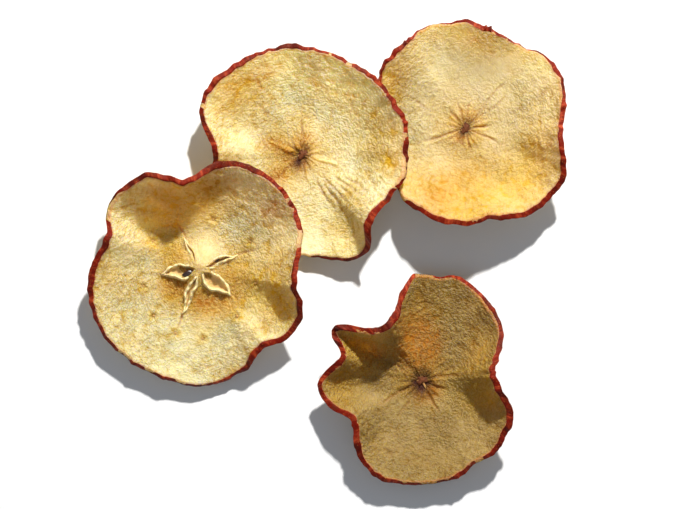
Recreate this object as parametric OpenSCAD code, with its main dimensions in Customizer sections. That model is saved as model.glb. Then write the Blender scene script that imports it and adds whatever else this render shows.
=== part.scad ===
// Four dried apple slices lying together on a flat surface, in millimetres.
// Each slice is a thin sheet of dried flesh whose rim has curled up as it dried, with a band of
// peel round its edge. The left slice is cut through the seed chambers; the other three are cut
// nearer an end of the apple, where the core shows as a small knot.

/* [Slice] */
// Thickness of the dried flesh
sheet_t = 1.8; // [1.4:0.1:2]
// Thickness of the peel where it bulges most
peel_t = 0.7; // [0.5:0.1:0.9]
// How far the peel stands past each face of the flesh
peel_lip = 0.25; // [0.1:0.05:0.4]
// How late a rim turns up: a higher power keeps the middle flatter
dish_power = 2; // [1.8:0.1:2.4]

/* [Core] */
// Height of the raised core of the slice with open seed chambers
crown_h = 2.4; // [1.5:0.1:3]
// Wall thickness of a seed chamber's parchment lining
lining_t = 0.25; // [0.2:0.05:0.35]
// How far a parchment lining stands up past the flesh
lining_lip = 0.5; // [0.3:0.1:0.8]
// Length of the whole seed
seed_l = 4; // [3.6:0.1:4.4]
// Width of the whole seed
seed_w = 2.2; // [2:0.1:2.4]
// Diameter of a woody vein thread
vein_d = 0.7; // [0.5:0.1:1]
// Diameter of the knot at the core of the other slices
knot_d = 2.6; // [2:0.1:3.2]

/* [Group] */
// Place of the left slice's core, from the middle of the layout
left_at = [-43.5, -4.5];
// Place of the middle slice's core
middle_at = [-11.5, 31];
// Place of the right slice's core
right_at = [39, 39];
// Place of the front slice's core
front_at = [25.5, -39];

/* [Hidden] */

$fn = 32;
samples_per_row = 2;    // rim points made for each row of a rim table
rings = 10;             // rings of points from the core out to the rim
core_share = 0.06;      // the innermost ring, as a share of the reach
flat_share = 0.28;      // the share of the reach that stays flat before the rim turns up
crown_share = 0.36;     // the share of the reach that a raised core takes
sink = 0.15;            // how far the middle of a sheet is pressed into its resting face
resting_z = sheet_t / 2 - sink;
core_top_z = resting_z + sheet_t / 2;

// Each rim is a closed curve through rows of [bearing in degrees, reach from the core, rise of the
// rim above the resting middle]. Reach falls and rise grows where the edge has curled inwards.
left_rim = [
    [0, 29.8, 16], [8, 31, 16], [18, 33.4, 14], [32, 34.4, 13], [43, 35, 13], [56, 34.6, 12.5],
    [70, 33.8, 13.5], [82, 31, 15], [90, 28, 17], [98, 26.6, 18], [108, 29, 18], [118, 32.4, 17],
    [127, 32.6, 15.5], [136, 33.2, 12], [146, 32.8, 10], [153, 30.4, 11], [159, 28.8, 13],
    [166, 29, 12.5], [175, 30.6, 11], [186, 32.6, 9.5], [200, 34.2, 8], [216, 35, 7],
    [235, 35, 6], [255, 35, 5], [270, 35.8, 3.5], [285, 34.6, 3], [297, 33, 5], [304, 30.8, 8],
    [311, 30.4, 9], [320, 33.2, 8], [332, 34.4, 10], [342, 32.8, 14], [350, 29.8, 17],
];
middle_rim = [
    [0, 31.4, 12], [7, 31.8, 12], [16, 32.8, 11.5], [28, 32, 11], [42, 31.4, 11.5], [57, 31, 11],
    [72, 31.4, 10], [86, 32, 9], [100, 33, 8], [115, 33, 9], [130, 33.4, 11], [144, 34.2, 12.5],
    [154, 33.8, 12], [163, 31.2, 11.5], [170, 28, 12], [179, 26, 11.5], [188, 26.8, 8.5],
    [200, 24.6, 3.5], [215, 22.6, 1.5], [230, 21.6, 1], [245, 22.6, 1], [257, 26.4, 2],
    [268, 31, 3], [280, 31.8, 4], [292, 34.8, 5], [301, 36, 7], [307, 33.6, 10.5],
    [312, 29.2, 14], [322, 28.4, 14.5], [333, 29.8, 13], [343, 31, 12.5], [352, 32.2, 12.5],
];
right_rim = [
    [0, 28.4, 13], [8, 29.2, 11.5], [16, 30.6, 10], [28, 32.6, 8], [36, 32.6, 6], [45, 32.2, 4],
    [54, 30.6, 3], [64, 30.2, 4.5], [72, 30.4, 7], [80, 31, 8], [90, 32.4, 7], [100, 32.4, 4],
    [108, 33.4, 3], [117, 33, 4], [124, 31.8, 7], [134, 31.4, 8.5], [143, 31.6, 7.5],
    [152, 29.8, 5], [165, 26.6, 3], [180, 24, 3], [195, 23.6, 3], [208, 24.2, 4.5],
    [218, 26.8, 7], [227, 29, 11], [236, 28.6, 13.5], [247, 28.8, 15], [258, 29.4, 16],
    [270, 29.2, 16.5], [282, 28.2, 16], [294, 29.8, 13], [304, 31.8, 11], [314, 32.4, 10],
    [325, 32.8, 10.5], [335, 32.6, 12], [345, 29.8, 14], [353, 28.6, 14.5],
];
front_rim = [
    [0, 21.8, 16], [9, 21.2, 16.5], [19, 23.8, 15], [31, 27.8, 12], [42, 29.8, 10], [56, 31.4, 8],
    [70, 33.4, 6], [82, 32.2, 5], [94, 32.6, 6.5], [103, 27.6, 10], [111, 22.2, 14],
    [121, 20, 16.5], [131, 20.6, 16], [139, 23.8, 15], [144, 28, 14.5], [147.5, 31, 14],
    [152, 30.4, 12.5], [157, 26.8, 12], [165, 25.4, 12.5], [171, 27.8, 11], [178, 30.6, 9],
    [186, 31.4, 8], [195, 28.8, 9], [203, 25, 11], [210, 24, 11.5], [218, 25.4, 10.5],
    [230, 29.4, 8.5], [243, 31.8, 7], [255, 31.8, 6], [270, 31.4, 6], [288, 31, 6.5],
    [303, 29.4, 8], [315, 30.4, 8.5], [328, 29.4, 10], [338, 28.6, 12], [346, 26, 14],
    [354, 22.8, 15.5],
];

// Seed chambers of the left slice: [bearing, reach of the inner tip, reach of the outer tip,
// half of its greatest width].
chambers = [
    [22, 2, 11.8, 1.2],
    [113, 2, 9.6, 0.9],
    [188, 1, 10.8, 2.4],
    [250, 2.4, 14, 1.1],
    [320, 1.8, 11.8, 2.4],
];
seed_chamber = 2;       // the chamber that holds the whole seed
tip_chamber = 0;        // the chamber that holds the cut tip of a seed
tip_l = 2.6;
tip_w = 1.2;
seed_rise = 0.3;        // how far a seed sits above the middle of the sheet
lens_steps = 12;        // points along each side of a chamber's outline
lens_skew = 0.8;        // below 1, a chamber is widest on the side nearer the core
crown_reach = 33;       // the slice's mean reach, which sets how wide the raised core is
lining_reach = 16;      // how far out the band that trims the linings goes
lining_foot = 0.2;      // height of a lining's foot above the underside of the flesh

// The ten woody threads that ring the core: [bearing, reach].
veins = [
    [28, 18], [74, 16], [110, 18], [149, 16.6], [197, 18],
    [226, 20.2], [250, 21.2], [273, 21.6], [309, 18.8], [346, 18.1],
];
vein_proud = 0.25;      // how far a thread's ends stand out of the flesh

tip_count = 5;          // an apple's core has five chambers, so five tips show
tip_ring = 2.1;         // radius of the circle the core tips stand on
tip_h = 1.7;
tip_lean = 24;

// ---- the sheet ----

function spline_point(a, b, c, d, t) =
    0.5 * (2 * b + (c - a) * t + (2 * a - 5 * b + 4 * c - d) * t * t
        + (3 * b - a - 3 * c + d) * t * t * t);

function rim_curve(rim) =
    let (n = len(rim), p = [for (r = rim) [r[1] * cos(r[0]), r[1] * sin(r[0]), r[2]]])
    [for (i = [0 : n - 1], k = [0 : samples_per_row - 1])
        spline_point(p[(i + n - 1) % n], p[i], p[(i + 1) % n], p[(i + 2) % n],
            k / samples_per_row)];

function ring_share(i) = core_share + (1 - core_share) * i / rings;
function dish(u) = u > flat_share ? pow((u - flat_share) / (1 - flat_share), dish_power) : 0;
function bump(u) = u < crown_share ? pow(cos(90 * u / crown_share), 2) : 0;

// Middle surface of a sheet, as rings of points.
function middle_surface(curve, crown) =
    [for (i = [0 : rings]) let (u = ring_share(i))
        [for (r = curve) [u * r[0], u * r[1], resting_z + crown * bump(u) + r[2] * dish(u)]]];

// Height of the middle surface at a bearing and a distance from the core.
function height_at(rim, crown, bearing, r) =
    let (u = r / lookup(bearing, [for (row = rim) [row[0], row[1]]]))
    resting_z + crown * bump(u) + dish(u) * lookup(bearing, [for (row = rim) [row[0], row[2]]]);

function unit(v) = v / norm(v);

function normal_at(g, i, j) =
    let (m = len(g[0]))
    i == 0 ? [0, 0, 1]
    : unit(cross(g[min(i + 1, rings)][j] - g[i - 1][j], g[i][(j + 1) % m] - g[i][(j + m - 1) % m]));

function sheet_face(g, side) =
    [for (i = [0 : rings]) [for (j = [0 : len(g[0]) - 1])
        g[i][j] + side * sheet_t / 2 * normal_at(g, i, j)]];

// Dried flesh: the sheet between its two faces, trimmed flat where it rests.
module sheet(g) {
    m = len(g[0]);
    upper = sheet_face(g, 1);
    lower = sheet_face(g, -1);
    under = m * (rings + 1);
    points = concat([for (ring = upper) each ring], [for (ring = lower) each ring]);
    skin = [for (i = [0 : rings - 1], j = [0 : m - 1])
        let (k = (j + 1) % m) [i * m + j, i * m + k, (i + 1) * m + k, (i + 1) * m + j]];
    edge = [for (j = [0 : m - 1])
        let (k = (j + 1) % m, a = rings * m) [a + j, a + k, under + a + k, under + a + j]];
    difference() {
        polyhedron(points, concat(
            skin,
            [for (f = skin) [under + f[0], under + f[3], under + f[2], under + f[1]]],
            edge,
            [[for (j = [m - 1 : -1 : 0]) j]],
            [[for (j = [0 : m - 1]) under + j]]));
        translate([-60, -60, -5])
            cube([120, 120, 5]);
    }
}

// One cross-section of the peel at rim point j, from the flesh's upper edge round to its lower edge.
function peel_section(g, upper, lower, j) =
    let (
        top = upper[rings][j], base = lower[rings][j],
        across = unit(top - base),
        out = unit(g[rings][j] - g[rings - 1][j]),
        lip = 0.6 * peel_t * out + peel_lip * across
    )
    [top, top + lip, (top + base) / 2 + peel_t * out, base + lip - 2 * peel_lip * across, base];

function peel_ring(g) =
    let (upper = sheet_face(g, 1), lower = sheet_face(g, -1))
    [for (j = [0 : len(g[0]) - 1]) peel_section(g, upper, lower, j)];

// The band of peel: its inner wall is the flesh's own edge, so the two meet face to face.
module peel_band(g) {
    sections = peel_ring(g);
    m = len(sections);
    n = len(sections[0]);
    outside = [for (j = [0 : m - 1], s = [0 : n - 2])
        let (k = (j + 1) % m) [j * n + s, k * n + s, k * n + s + 1, j * n + s + 1]];
    inside = [for (j = [0 : m - 1])
        let (k = (j + 1) % m) [j * n, j * n + n - 1, k * n + n - 1, k * n]];
    polyhedron([for (s = sections) each s], concat(outside, inside));
}

// ---- the core of the left slice ----

// A pointed oval from reach a to reach b along +X, at most w to each side.
module lens(a, b, w) {
    side = [for (i = [0 : lens_steps]) let (s = i / lens_steps)
        [a + (b - a) * s, w * sin(180 * pow(s, lens_skew))]];
    polygon(concat(
        [for (p = side) [p[0], -p[1]]],
        [for (i = [lens_steps - 1 : -1 : 1]) side[i]]));
}

module chamber_cuts() {
    for (c = chambers)
        rotate(c[0])
            translate([0, 0, -1])
                linear_extrude(crown_h + 3 * sheet_t)
                    lens(c[1], c[2], c[3]);
}

function crown_z(r) = resting_z + crown_h * bump(r / crown_reach);

// The band of heights that a lining keeps: from its foot to just proud of the flesh.
module lining_band() {
    rotate_extrude()
        polygon(concat(
            [for (r = [0 : 2 : lining_reach]) [r, crown_z(r) - sheet_t / 2 + lining_foot]],
            [for (r = [lining_reach : -2 : 0]) [r, crown_z(r) + sheet_t / 2 + lining_lip]]));
}

// Parchment lining of one seed chamber: a thin wall that follows the raised core.
module lining(c) {
    color("goldenrod")
        intersection() {
            rotate(c[0])
                linear_extrude(crown_h + 3 * sheet_t)
                    difference() {
                        lens(c[1], c[2], c[3]);
                        lens(c[1] + 3 * lining_t, c[2] - 3 * lining_t, c[3] - lining_t);
                    }
            lining_band();
        }
}

// A teardrop seed lying along +X, pointed end towards the core.
module teardrop(length, width) {
    steps = 9;
    rotate([0, 90, 0])
        rotate_extrude()
            polygon(concat([[0, 0]],
                [for (i = [1 : steps]) let (s = i / (steps + 1))
                    [width / 2 * sin(180 * pow(s, 0.8)), length * s]],
                [[0, length]]));
}

// A seed that starts at a reach in a chamber, dried against one side of its lining.
module seed_in(c, reach, aside, length, width) {
    color([0.16, 0.1, 0.07])
        rotate(c[0])
            translate([reach, aside, crown_z(reach + length / 2) + seed_rise])
                teardrop(length, width);
}

module vein_threads(rim, crown) {
    color("peru")
        for (v = veins)
            rotate(v[0])
                translate([v[1], 0, height_at(rim, crown, v[0], v[1])])
                    cylinder(d = vein_d, h = sheet_t + 2 * vein_proud, center = true);
}

// ---- the core of the other slices ----

module core_knot() {
    color("saddlebrown")
        translate([0, 0, core_top_z])
            rotate_extrude()
                polygon([[0, 0], [knot_d / 2, 0], [0.42 * knot_d, 0.5], [0.25 * knot_d, 0.9], [0, 1]]);
}

// The closed tips of the five chambers, leaning in over the knot.
module core_tips(turn) {
    color("burlywood")
        for (i = [0 : tip_count - 1])
            rotate(turn + 360 / tip_count * i)
                translate([tip_ring, 0, core_top_z])
                    intersection() {
                        rotate([0, -tip_lean, 0])
                            translate([0, 0, -1])
                                cylinder(d1 = 0.9, d2 = 0.35, h = tip_h + 1);
                        translate([-2, -2, 0])
                            cube([4, 4, 4]);
                    }
}

// ---- placing ----

left_sheet = middle_surface(rim_curve(left_rim), crown_h);
middle_sheet = middle_surface(rim_curve(middle_rim), 0);
right_sheet = middle_surface(rim_curve(right_rim), 0);
front_sheet = middle_surface(rim_curve(front_rim), 0);

// The group is moved so that its footprint is centred on the origin.
outer_points = concat(
    [for (s = peel_ring(left_sheet)) each [for (p = s) [p[0], p[1]] + left_at]],
    [for (s = peel_ring(middle_sheet)) each [for (p = s) [p[0], p[1]] + middle_at]],
    [for (s = peel_ring(right_sheet)) each [for (p = s) [p[0], p[1]] + right_at]],
    [for (s = peel_ring(front_sheet)) each [for (p = s) [p[0], p[1]] + front_at]]);
xs = [for (p = outer_points) p[0]];
ys = [for (p = outer_points) p[1]];
group_middle = [min(xs) + max(xs), min(ys) + max(ys)] / 2;

module placed(at) {
    translate([at[0] - group_middle[0], at[1] - group_middle[1], 0])
        children();
}

module flesh(g) {
    color([0.91, 0.79, 0.5])
        sheet(g);
}

module chambered_flesh(g) {
    color([0.91, 0.79, 0.5])
        difference() {
            sheet(g);
            chamber_cuts();
        }
}

module peel(g) {
    color("firebrick")
        peel_band(g);
}

placed(left_at) chambered_flesh(left_sheet);  // left_slice_flesh
placed(left_at) peel(left_sheet);  // left_slice_peel
placed(left_at)  // left_slice_veins
    vein_threads(left_rim, crown_h);
placed(left_at) lining(chambers[0]);  // left_slice_lining_1
placed(left_at) lining(chambers[1]);  // left_slice_lining_2
placed(left_at) lining(chambers[2]);  // left_slice_lining_3
placed(left_at) lining(chambers[3]);  // left_slice_lining_4
placed(left_at) lining(chambers[4]);  // left_slice_lining_5
placed(left_at)  // left_slice_seed
    seed_in(chambers[seed_chamber], 2.2, 0.6, seed_l, seed_w);
placed(left_at)  // left_slice_seed_tip
    seed_in(chambers[tip_chamber], 4.6, 0.4, tip_l, tip_w);
placed(middle_at) flesh(middle_sheet);  // middle_slice_flesh
placed(middle_at) peel(middle_sheet);  // middle_slice_peel
placed(middle_at) core_knot();  // middle_slice_core_knot
placed(middle_at) core_tips(20);  // middle_slice_core_tips
placed(right_at) flesh(right_sheet);  // right_slice_flesh
placed(right_at) peel(right_sheet);  // right_slice_peel
placed(right_at) core_knot();  // right_slice_core_knot
placed(right_at) core_tips(8);  // right_slice_core_tips
placed(front_at) flesh(front_sheet);  // front_slice_flesh
placed(front_at) peel(front_sheet);  // front_slice_peel
placed(front_at) core_knot();  // front_slice_core_knot
placed(front_at) core_tips(50);  // front_slice_core_tips
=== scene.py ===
"""Looks for a loose group of four dried apple slices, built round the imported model."""

import logging
import math
from dataclasses import dataclass
from enum import Enum
from typing import Any, Callable, Mapping, Sequence

import bpy
import numpy as np
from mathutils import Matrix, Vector
from mathutils.bvhtree import BVHTree


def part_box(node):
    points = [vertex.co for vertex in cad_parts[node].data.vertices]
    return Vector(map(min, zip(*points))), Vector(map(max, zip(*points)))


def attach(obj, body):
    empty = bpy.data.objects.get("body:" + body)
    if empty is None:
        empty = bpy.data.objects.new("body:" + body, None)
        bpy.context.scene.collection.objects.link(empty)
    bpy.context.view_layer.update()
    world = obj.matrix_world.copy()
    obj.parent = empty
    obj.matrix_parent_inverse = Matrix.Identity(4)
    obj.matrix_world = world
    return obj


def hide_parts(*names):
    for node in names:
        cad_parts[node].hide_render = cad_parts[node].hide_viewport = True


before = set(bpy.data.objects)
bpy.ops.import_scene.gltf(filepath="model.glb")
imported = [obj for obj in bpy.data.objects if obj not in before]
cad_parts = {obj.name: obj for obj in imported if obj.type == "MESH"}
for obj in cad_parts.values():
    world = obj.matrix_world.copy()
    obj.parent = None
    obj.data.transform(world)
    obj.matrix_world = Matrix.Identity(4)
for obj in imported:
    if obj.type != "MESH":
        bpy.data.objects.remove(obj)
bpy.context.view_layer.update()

MM = 0.001
FULL_TURN = 2 * math.pi
Colour = tuple[float, float, float, float]
log = logging.getLogger("slices")


def rgb(red: float, green: float, blue: float) -> Colour:
    """Returns an opaque colour in linear light."""
    return (red, green, blue, 1.0)


# ---------------------------------------------------------------- node trees


class Value:
    """One socket of a node tree that takes part in Python arithmetic."""

    def __init__(self, tree: "Tree", socket: bpy.types.NodeSocket) -> None:
        """Wraps a socket of a tree."""
        self.tree = tree
        self.socket = socket

    def __add__(self, other: "Value | float") -> "Value":
        """Adds a number or a socket."""
        return self.tree.math("ADD", self, other)

    __radd__ = __add__

    def __sub__(self, other: "Value | float") -> "Value":
        """Takes a number or a socket away."""
        return self.tree.math("SUBTRACT", self, other)

    def __rsub__(self, other: float) -> "Value":
        """Takes this socket away from a number."""
        return self.tree.math("SUBTRACT", other, self)

    def __mul__(self, other: "Value | float") -> "Value":
        """Multiplies by a number or a socket."""
        return self.tree.math("MULTIPLY", self, other)

    __rmul__ = __mul__

    def clamped(self) -> "Value":
        """Returns the value held between 0 and 1."""
        return self.tree.node("ShaderNodeClamp", inputs={0: self})

    def smooth(self, low: float, high: float) -> "Value":
        """Returns a soft step.

        Args:
            low: where the step is 0.
            high: where the step is 1; below low, the step falls.

        Returns:
            A value from 0 to 1.
        """
        return self.tree.node("ShaderNodeMapRange", {"interpolation_type": "SMOOTHSTEP"},
                              {0: self, 1: low, 2: high})


class Tree:
    """Adds nodes to one shader or geometry node tree."""

    def __init__(self, tree: bpy.types.NodeTree) -> None:
        """Starts from an existing tree."""
        self.tree = tree

    def feed(self, socket: bpy.types.NodeSocket, value: Any) -> None:
        """Links a Value to a socket, or sets the socket's own value.

        Args:
            socket: the socket.
            value: a Value to link, or a number, colour or vector.
        """
        if isinstance(value, Value):
            self.tree.links.new(value.socket, socket)
        else:
            socket.default_value = value

    def node(self, kind: str, settings: Mapping[str, Any] | None = None,
             inputs: Mapping[int | str, Any] | None = None, out: int | str = 0) -> Value:
        """Adds one node.

        Args:
            kind: the node's type.
            settings: the node's own settings; "stops" fills a colour ramp.
            inputs: a value or a link for each named or numbered input.
            out: which output the result stands for.

        Returns:
            The chosen output.
        """
        made = self.tree.nodes.new(kind)
        for key, value in (settings or {}).items():
            if key == "stops":
                self._fill_ramp(made.color_ramp, value)
            else:
                setattr(made, key, value)
        for key, value in (inputs or {}).items():
            self.feed(made.inputs[key], value)
        return Value(self, made.outputs[out])

    @staticmethod
    def _fill_ramp(ramp: bpy.types.ColorRamp, stops: Sequence[tuple[float, Colour]]) -> None:
        """Gives a colour ramp its stops.

        Args:
            ramp: the ramp.
            stops: the place and colour of each stop.
        """
        while len(ramp.elements) < len(stops):
            ramp.elements.new(0.5)
        for element, (place, colour) in zip(ramp.elements, stops):
            element.position = place
            element.color = colour

    def math(self, operation: str, *values: "Value | float") -> Value:
        """Adds a Math node on numbers and sockets."""
        return self.node("ShaderNodeMath", {"operation": operation}, dict(enumerate(values)))

    def vector(self, operation: str, *values: Any, out: int | str = 0) -> Value:
        """Adds a Vector Math node."""
        return self.node("ShaderNodeVectorMath", {"operation": operation},
                         dict(enumerate(values)), out)

    def scaled(self, vector: Value, by: Value | float) -> Value:
        """Returns a vector times a number."""
        return self.node("ShaderNodeVectorMath", {"operation": "SCALE"}, {0: vector, 3: by})

    def combined(self, x: Any, y: Any, z: Any) -> Value:
        """Returns a vector made of three numbers."""
        return self.node("ShaderNodeCombineXYZ", inputs={0: x, 1: y, 2: z})

    def mix(self, factor: Value | float, first: Any, second: Any, blend: str = "MIX") -> Value:
        """Returns a blend of two colours."""
        return self.node("ShaderNodeMix", {"data_type": "RGBA", "blend_type": blend},
                         {0: factor, 6: first, 7: second}, out=2)

    def noise(self, place: Value, scale: float, detail: float = 3.0, rough: float = 0.55,
              distortion: float = 0.0) -> Value:
        """Returns a noise value at a place.

        Args:
            place: the coordinates.
            scale: features per unit of the coordinates.
            detail: octaves of finer noise.
            rough: how strong each finer octave is.
            distortion: how far the noise is bent by itself.

        Returns:
            A value that is about 0.5 on average.
        """
        return self.node("ShaderNodeTexNoise", inputs={
            "Vector": place, "Scale": scale, "Detail": detail, "Roughness": rough,
            "Distortion": distortion})

    def bent(self, place: Value, scale: float, far: float) -> Value:
        """Returns coordinates that a noise has pushed about.

        Args:
            place: the coordinates.
            scale: the noise's features per unit.
            far: how far the push goes.

        Returns:
            The new coordinates.
        """
        push = self.node("ShaderNodeTexNoise", inputs={"Vector": place, "Scale": scale}, out="Color")
        return self.vector("ADD", place, self.scaled(self.vector(
            "SUBTRACT", push, (0.5, 0.5, 0.5)), 2 * far))

    def cells(self, place: Value, scale: float, feature: str = "F1") -> Value:
        """Returns the distance within a Voronoi cell."""
        return self.node("ShaderNodeTexVoronoi", {"feature": feature},
                         {"Vector": place, "Scale": scale})


class SurfaceTree(Tree):
    """A material's tree, with one Principled shader."""

    def __init__(self, name: str, constants: Mapping[str, Any]) -> None:
        """Makes a material.

        Args:
            name: the material's name.
            constants: values for the shader's own sockets.
        """
        self.material = bpy.data.materials.new(name)
        self.material.use_nodes = True
        super().__init__(self.material.node_tree)
        self.shader = self.tree.nodes["Principled BSDF"]
        for socket, value in constants.items():
            self.shader.inputs[socket].default_value = value

    def place(self) -> Value:
        """Returns the object coordinates, in millimetres."""
        return self.scaled(self.node("ShaderNodeTexCoord", out="Object"), 1 / MM)

    def share(self, name: str) -> Value:
        """Returns one of the piece's own numbers."""
        return self.node("ShaderNodeAttribute", {"attribute_name": name}, out="Fac")

    def arrow(self, name: str) -> Value:
        """Returns one of the piece's own vectors."""
        return self.node("ShaderNodeAttribute", {"attribute_name": name}, out="Vector")

    def bump(self, height: Value, depth_mm: float, under: Value | None = None) -> Value:
        """Returns a normal bent by a height.

        Args:
            height: the height, from 0 to 1.
            depth_mm: what a height of 1 stands for.
            under: a normal to start from.

        Returns:
            The bent normal.
        """
        inputs: dict[int | str, Any] = {"Height": height, "Distance": depth_mm * MM, "Strength": 1.0}
        if under is not None:
            inputs["Normal"] = under
        return self.node("ShaderNodeBump", inputs=inputs)

    def finish(self, colour: Value, roughness: Value, normal: Value) -> bpy.types.Material:
        """Feeds the shader.

        Args:
            colour: the base colour.
            roughness: the roughness.
            normal: the bent normal.

        Returns:
            The finished material.
        """
        self.feed(self.shader.inputs["Base Color"], colour)
        self.feed(self.shader.inputs["Roughness"], roughness)
        self.feed(self.shader.inputs["Normal"], normal)
        return self.material


def keep_result(piece: bpy.types.Object) -> bpy.types.Object:
    """Turns an object's modifiers into its plain mesh.

    Args:
        piece: the object.

    Returns:
        The same object, with no modifier left.
    """
    graph = bpy.context.evaluated_depsgraph_get()
    result = bpy.data.meshes.new_from_object(piece.evaluated_get(graph),
                                             preserve_all_data_layers=True, depsgraph=graph)
    piece.modifiers.clear()
    piece.data = result
    return piece


class GrowthTree(Tree):
    """A geometry tree with named inputs that changes or makes one piece."""

    def __init__(self, name: str, inputs: Mapping[str, Any]) -> None:
        """Makes the tree's interface.

        Args:
            name: the tree's name.
            inputs: each input's name and default; a tuple makes a vector input.
        """
        super().__init__(bpy.data.node_groups.new(name, "GeometryNodeTree"))
        face = self.tree.interface
        face.new_socket(name="Geometry", in_out="INPUT", socket_type="NodeSocketGeometry")
        for key, value in inputs.items():
            kinds = {tuple: "NodeSocketVector", float: "NodeSocketFloat", int: "NodeSocketInt",
                     type(None): "NodeSocketMaterial"}
            socket = face.new_socket(name=key, in_out="INPUT", socket_type=kinds[type(value)])
            if value is not None:
                socket.default_value = value
        face.new_socket(name="Geometry", in_out="OUTPUT", socket_type="NodeSocketGeometry")
        self.entry = self.tree.nodes.new("NodeGroupInput")
        self.exit = self.tree.nodes.new("NodeGroupOutput")

    def given(self, name: str) -> Value:
        """Returns a named input of the tree."""
        return Value(self, self.entry.outputs[name])

    def field(self, name: str, kind: str = "FLOAT") -> Value:
        """Returns a named attribute of the geometry."""
        return self.node("GeometryNodeInputNamedAttribute", {"data_type": kind}, {"Name": name})

    def kept(self, geometry: Value, name: str, value: Value) -> Value:
        """Stores a number on the geometry's points."""
        return self.node("GeometryNodeStoreNamedAttribute", {"data_type": "FLOAT", "domain": "POINT"},
                         {"Geometry": geometry, "Name": name, "Value": value})

    def end(self, geometry: Value) -> None:
        """Dresses the geometry and hands it to the tree's output.

        Args:
            geometry: what the tree has made.
        """
        real = self.node("GeometryNodeRealizeInstances", inputs={0: geometry})
        dressed = self.node("GeometryNodeSetMaterial",
                            inputs={"Geometry": real, "Material": self.given("Material")})
        self.feed(self.exit.inputs[0], dressed)

    def run(self, piece: bpy.types.Object, values: Mapping[str, Any]) -> bpy.types.Object:
        """Runs the tree on a piece and leaves the plain result as its mesh.

        Args:
            piece: the object that holds the starting geometry.
            values: a value for each named input that differs from its default.

        Returns:
            The same object, with no modifier left.
        """
        modifier = piece.modifiers.new("growth", "NODES")
        modifier.node_group = self.tree
        for item in self.tree.interface.items_tree:
            if item.in_out == "INPUT" and item.name in values:
                modifier[item.identifier] = values[item.name]
        return keep_result(piece)


# ---------------------------------------------------------------- meshes


def make_piece(name: str, points: np.ndarray, faces: Sequence[Sequence[int]],
               material: bpy.types.Material, numbers: Mapping[str, np.ndarray] | None = None
               ) -> bpy.types.Object:
    """Makes a smooth-shaded object from points in millimetres.

    Args:
        name: the object's name.
        points: one row of x, y, z for each point.
        faces: the corners of each face, anticlockwise from outside.
        material: what it is dressed in.
        numbers: extra numbers or vectors for each point, by name.

    Returns:
        The linked object.
    """
    mesh = bpy.data.meshes.new(name)
    mesh.from_pydata((points * MM).tolist(), [], [list(f) for f in faces])
    mesh.materials.append(material)
    mesh.shade_smooth()
    for key, values in (numbers or {}).items():
        is_vector = values.ndim == 2
        layer = mesh.attributes.new(key, "FLOAT_VECTOR" if is_vector else "FLOAT", "POINT")
        layer.data.foreach_set("vector" if is_vector else "value",
                               values.astype(np.float32).ravel())
    piece = bpy.data.objects.new(name, mesh)
    bpy.context.scene.collection.objects.link(piece)
    return piece


def grid_faces(rows: int, columns: int, start: int = 0, turned: bool = False,
               closed: bool = False) -> list[list[int]]:
    """Returns the quads of a grid whose columns close into a ring.

    Args:
        rows: how many rings of points.
        columns: how many points in a ring.
        start: the first point's number.
        turned: True to face the other way.
        closed: True to join the last ring to the first.

    Returns:
        The quads.
    """
    faces = []
    for i in range(rows if closed else rows - 1):
        near, far = start + i * columns, start + (i + 1) % rows * columns
        for j in range(columns):
            k = (j + 1) % columns
            quad = [near + j, far + j, far + k, near + k]
            faces.append(quad[::-1] if turned else quad)
    return faces


def capped_faces(rows: int, around: int, turned: bool = False) -> list[list[int]]:
    """Returns the faces of rings that one more point closes at each end.

    Args:
        rows: how many rings of points; the first and the last end point follow them.
        around: how many points in a ring.
        turned: True to face the other way.

    Returns:
        The quads and triangles.
    """
    faces = grid_faces(rows, around, turned=turned)
    first, last, edge = rows * around, rows * around + 1, (rows - 1) * around
    for j in range(around):
        k = (j + 1) % around
        for cap in ([first, j, k], [last, edge + k, edge + j]):
            faces.append(cap[::-1] if turned else cap)
    return faces


def softened(values: np.ndarray, reach: int, axis: int) -> np.ndarray:
    """Blurs an array along one axis with a raised-cosine window.

    Args:
        values: the array.
        reach: how many samples to each side the window takes in.
        axis: 0 for the open ends of a column, -1 for the closed ring of bearings.

    Returns:
        The blurred array.
    """
    window = np.hanning(2 * reach + 3)[1:-1]
    window /= window.sum()
    total = np.zeros_like(values)
    if axis == -1:
        for k, weight in enumerate(window):
            total += weight * np.roll(values, k - reach, axis=-1)
        return total
    head = 2 * values[:1] - values[reach:0:-1]
    tail = 2 * values[-1:] - values[-2:-reach - 2:-1]
    long = np.concatenate([head, values, tail])
    for k, weight in enumerate(window):
        total += weight * long[k:k + len(values)]
    return total


def bell(distance: np.ndarray, width: float) -> np.ndarray:
    """Returns a Gaussian bump of a given width."""
    return np.exp(-(distance / width) ** 2)


def ramp(values: np.ndarray, low: float, high: float) -> np.ndarray:
    """Returns a soft step from 0 at low to 1 at high."""
    t = np.clip((values - low) / (high - low), 0, 1)
    return t * t * (3 - 2 * t)


# ---------------------------------------------------------------- what each slice is like


class Core(Enum):
    """How a slice is cut through the apple's core."""

    OPEN_CHAMBERS = "open chambers"
    CLOSED_KNOT = "closed knot"


@dataclass(frozen=True)
class Fold:
    """A straight pucker that runs out from the core, in millimetres and degrees."""

    bearing: float
    inner: float
    outer: float
    height: float = 0.5
    width: float = 0.5
    # How strongly the fold's line is painted darker, as shade in the pucker.
    crease_shade_strength: float = 0.4


@dataclass(frozen=True)
class Patch:
    """A soft round patch on a slice, in millimetres and degrees."""

    bearing: float
    reach: float
    radius: float
    strength: float


@dataclass(frozen=True)
class Tear:
    """A place where the peel laps over the flesh, stands out, or drops below the flesh's edge."""

    bearing: float
    spread: float
    inward: float = 0.0
    outward: float = 0.0
    drop: float = 0.0


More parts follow.
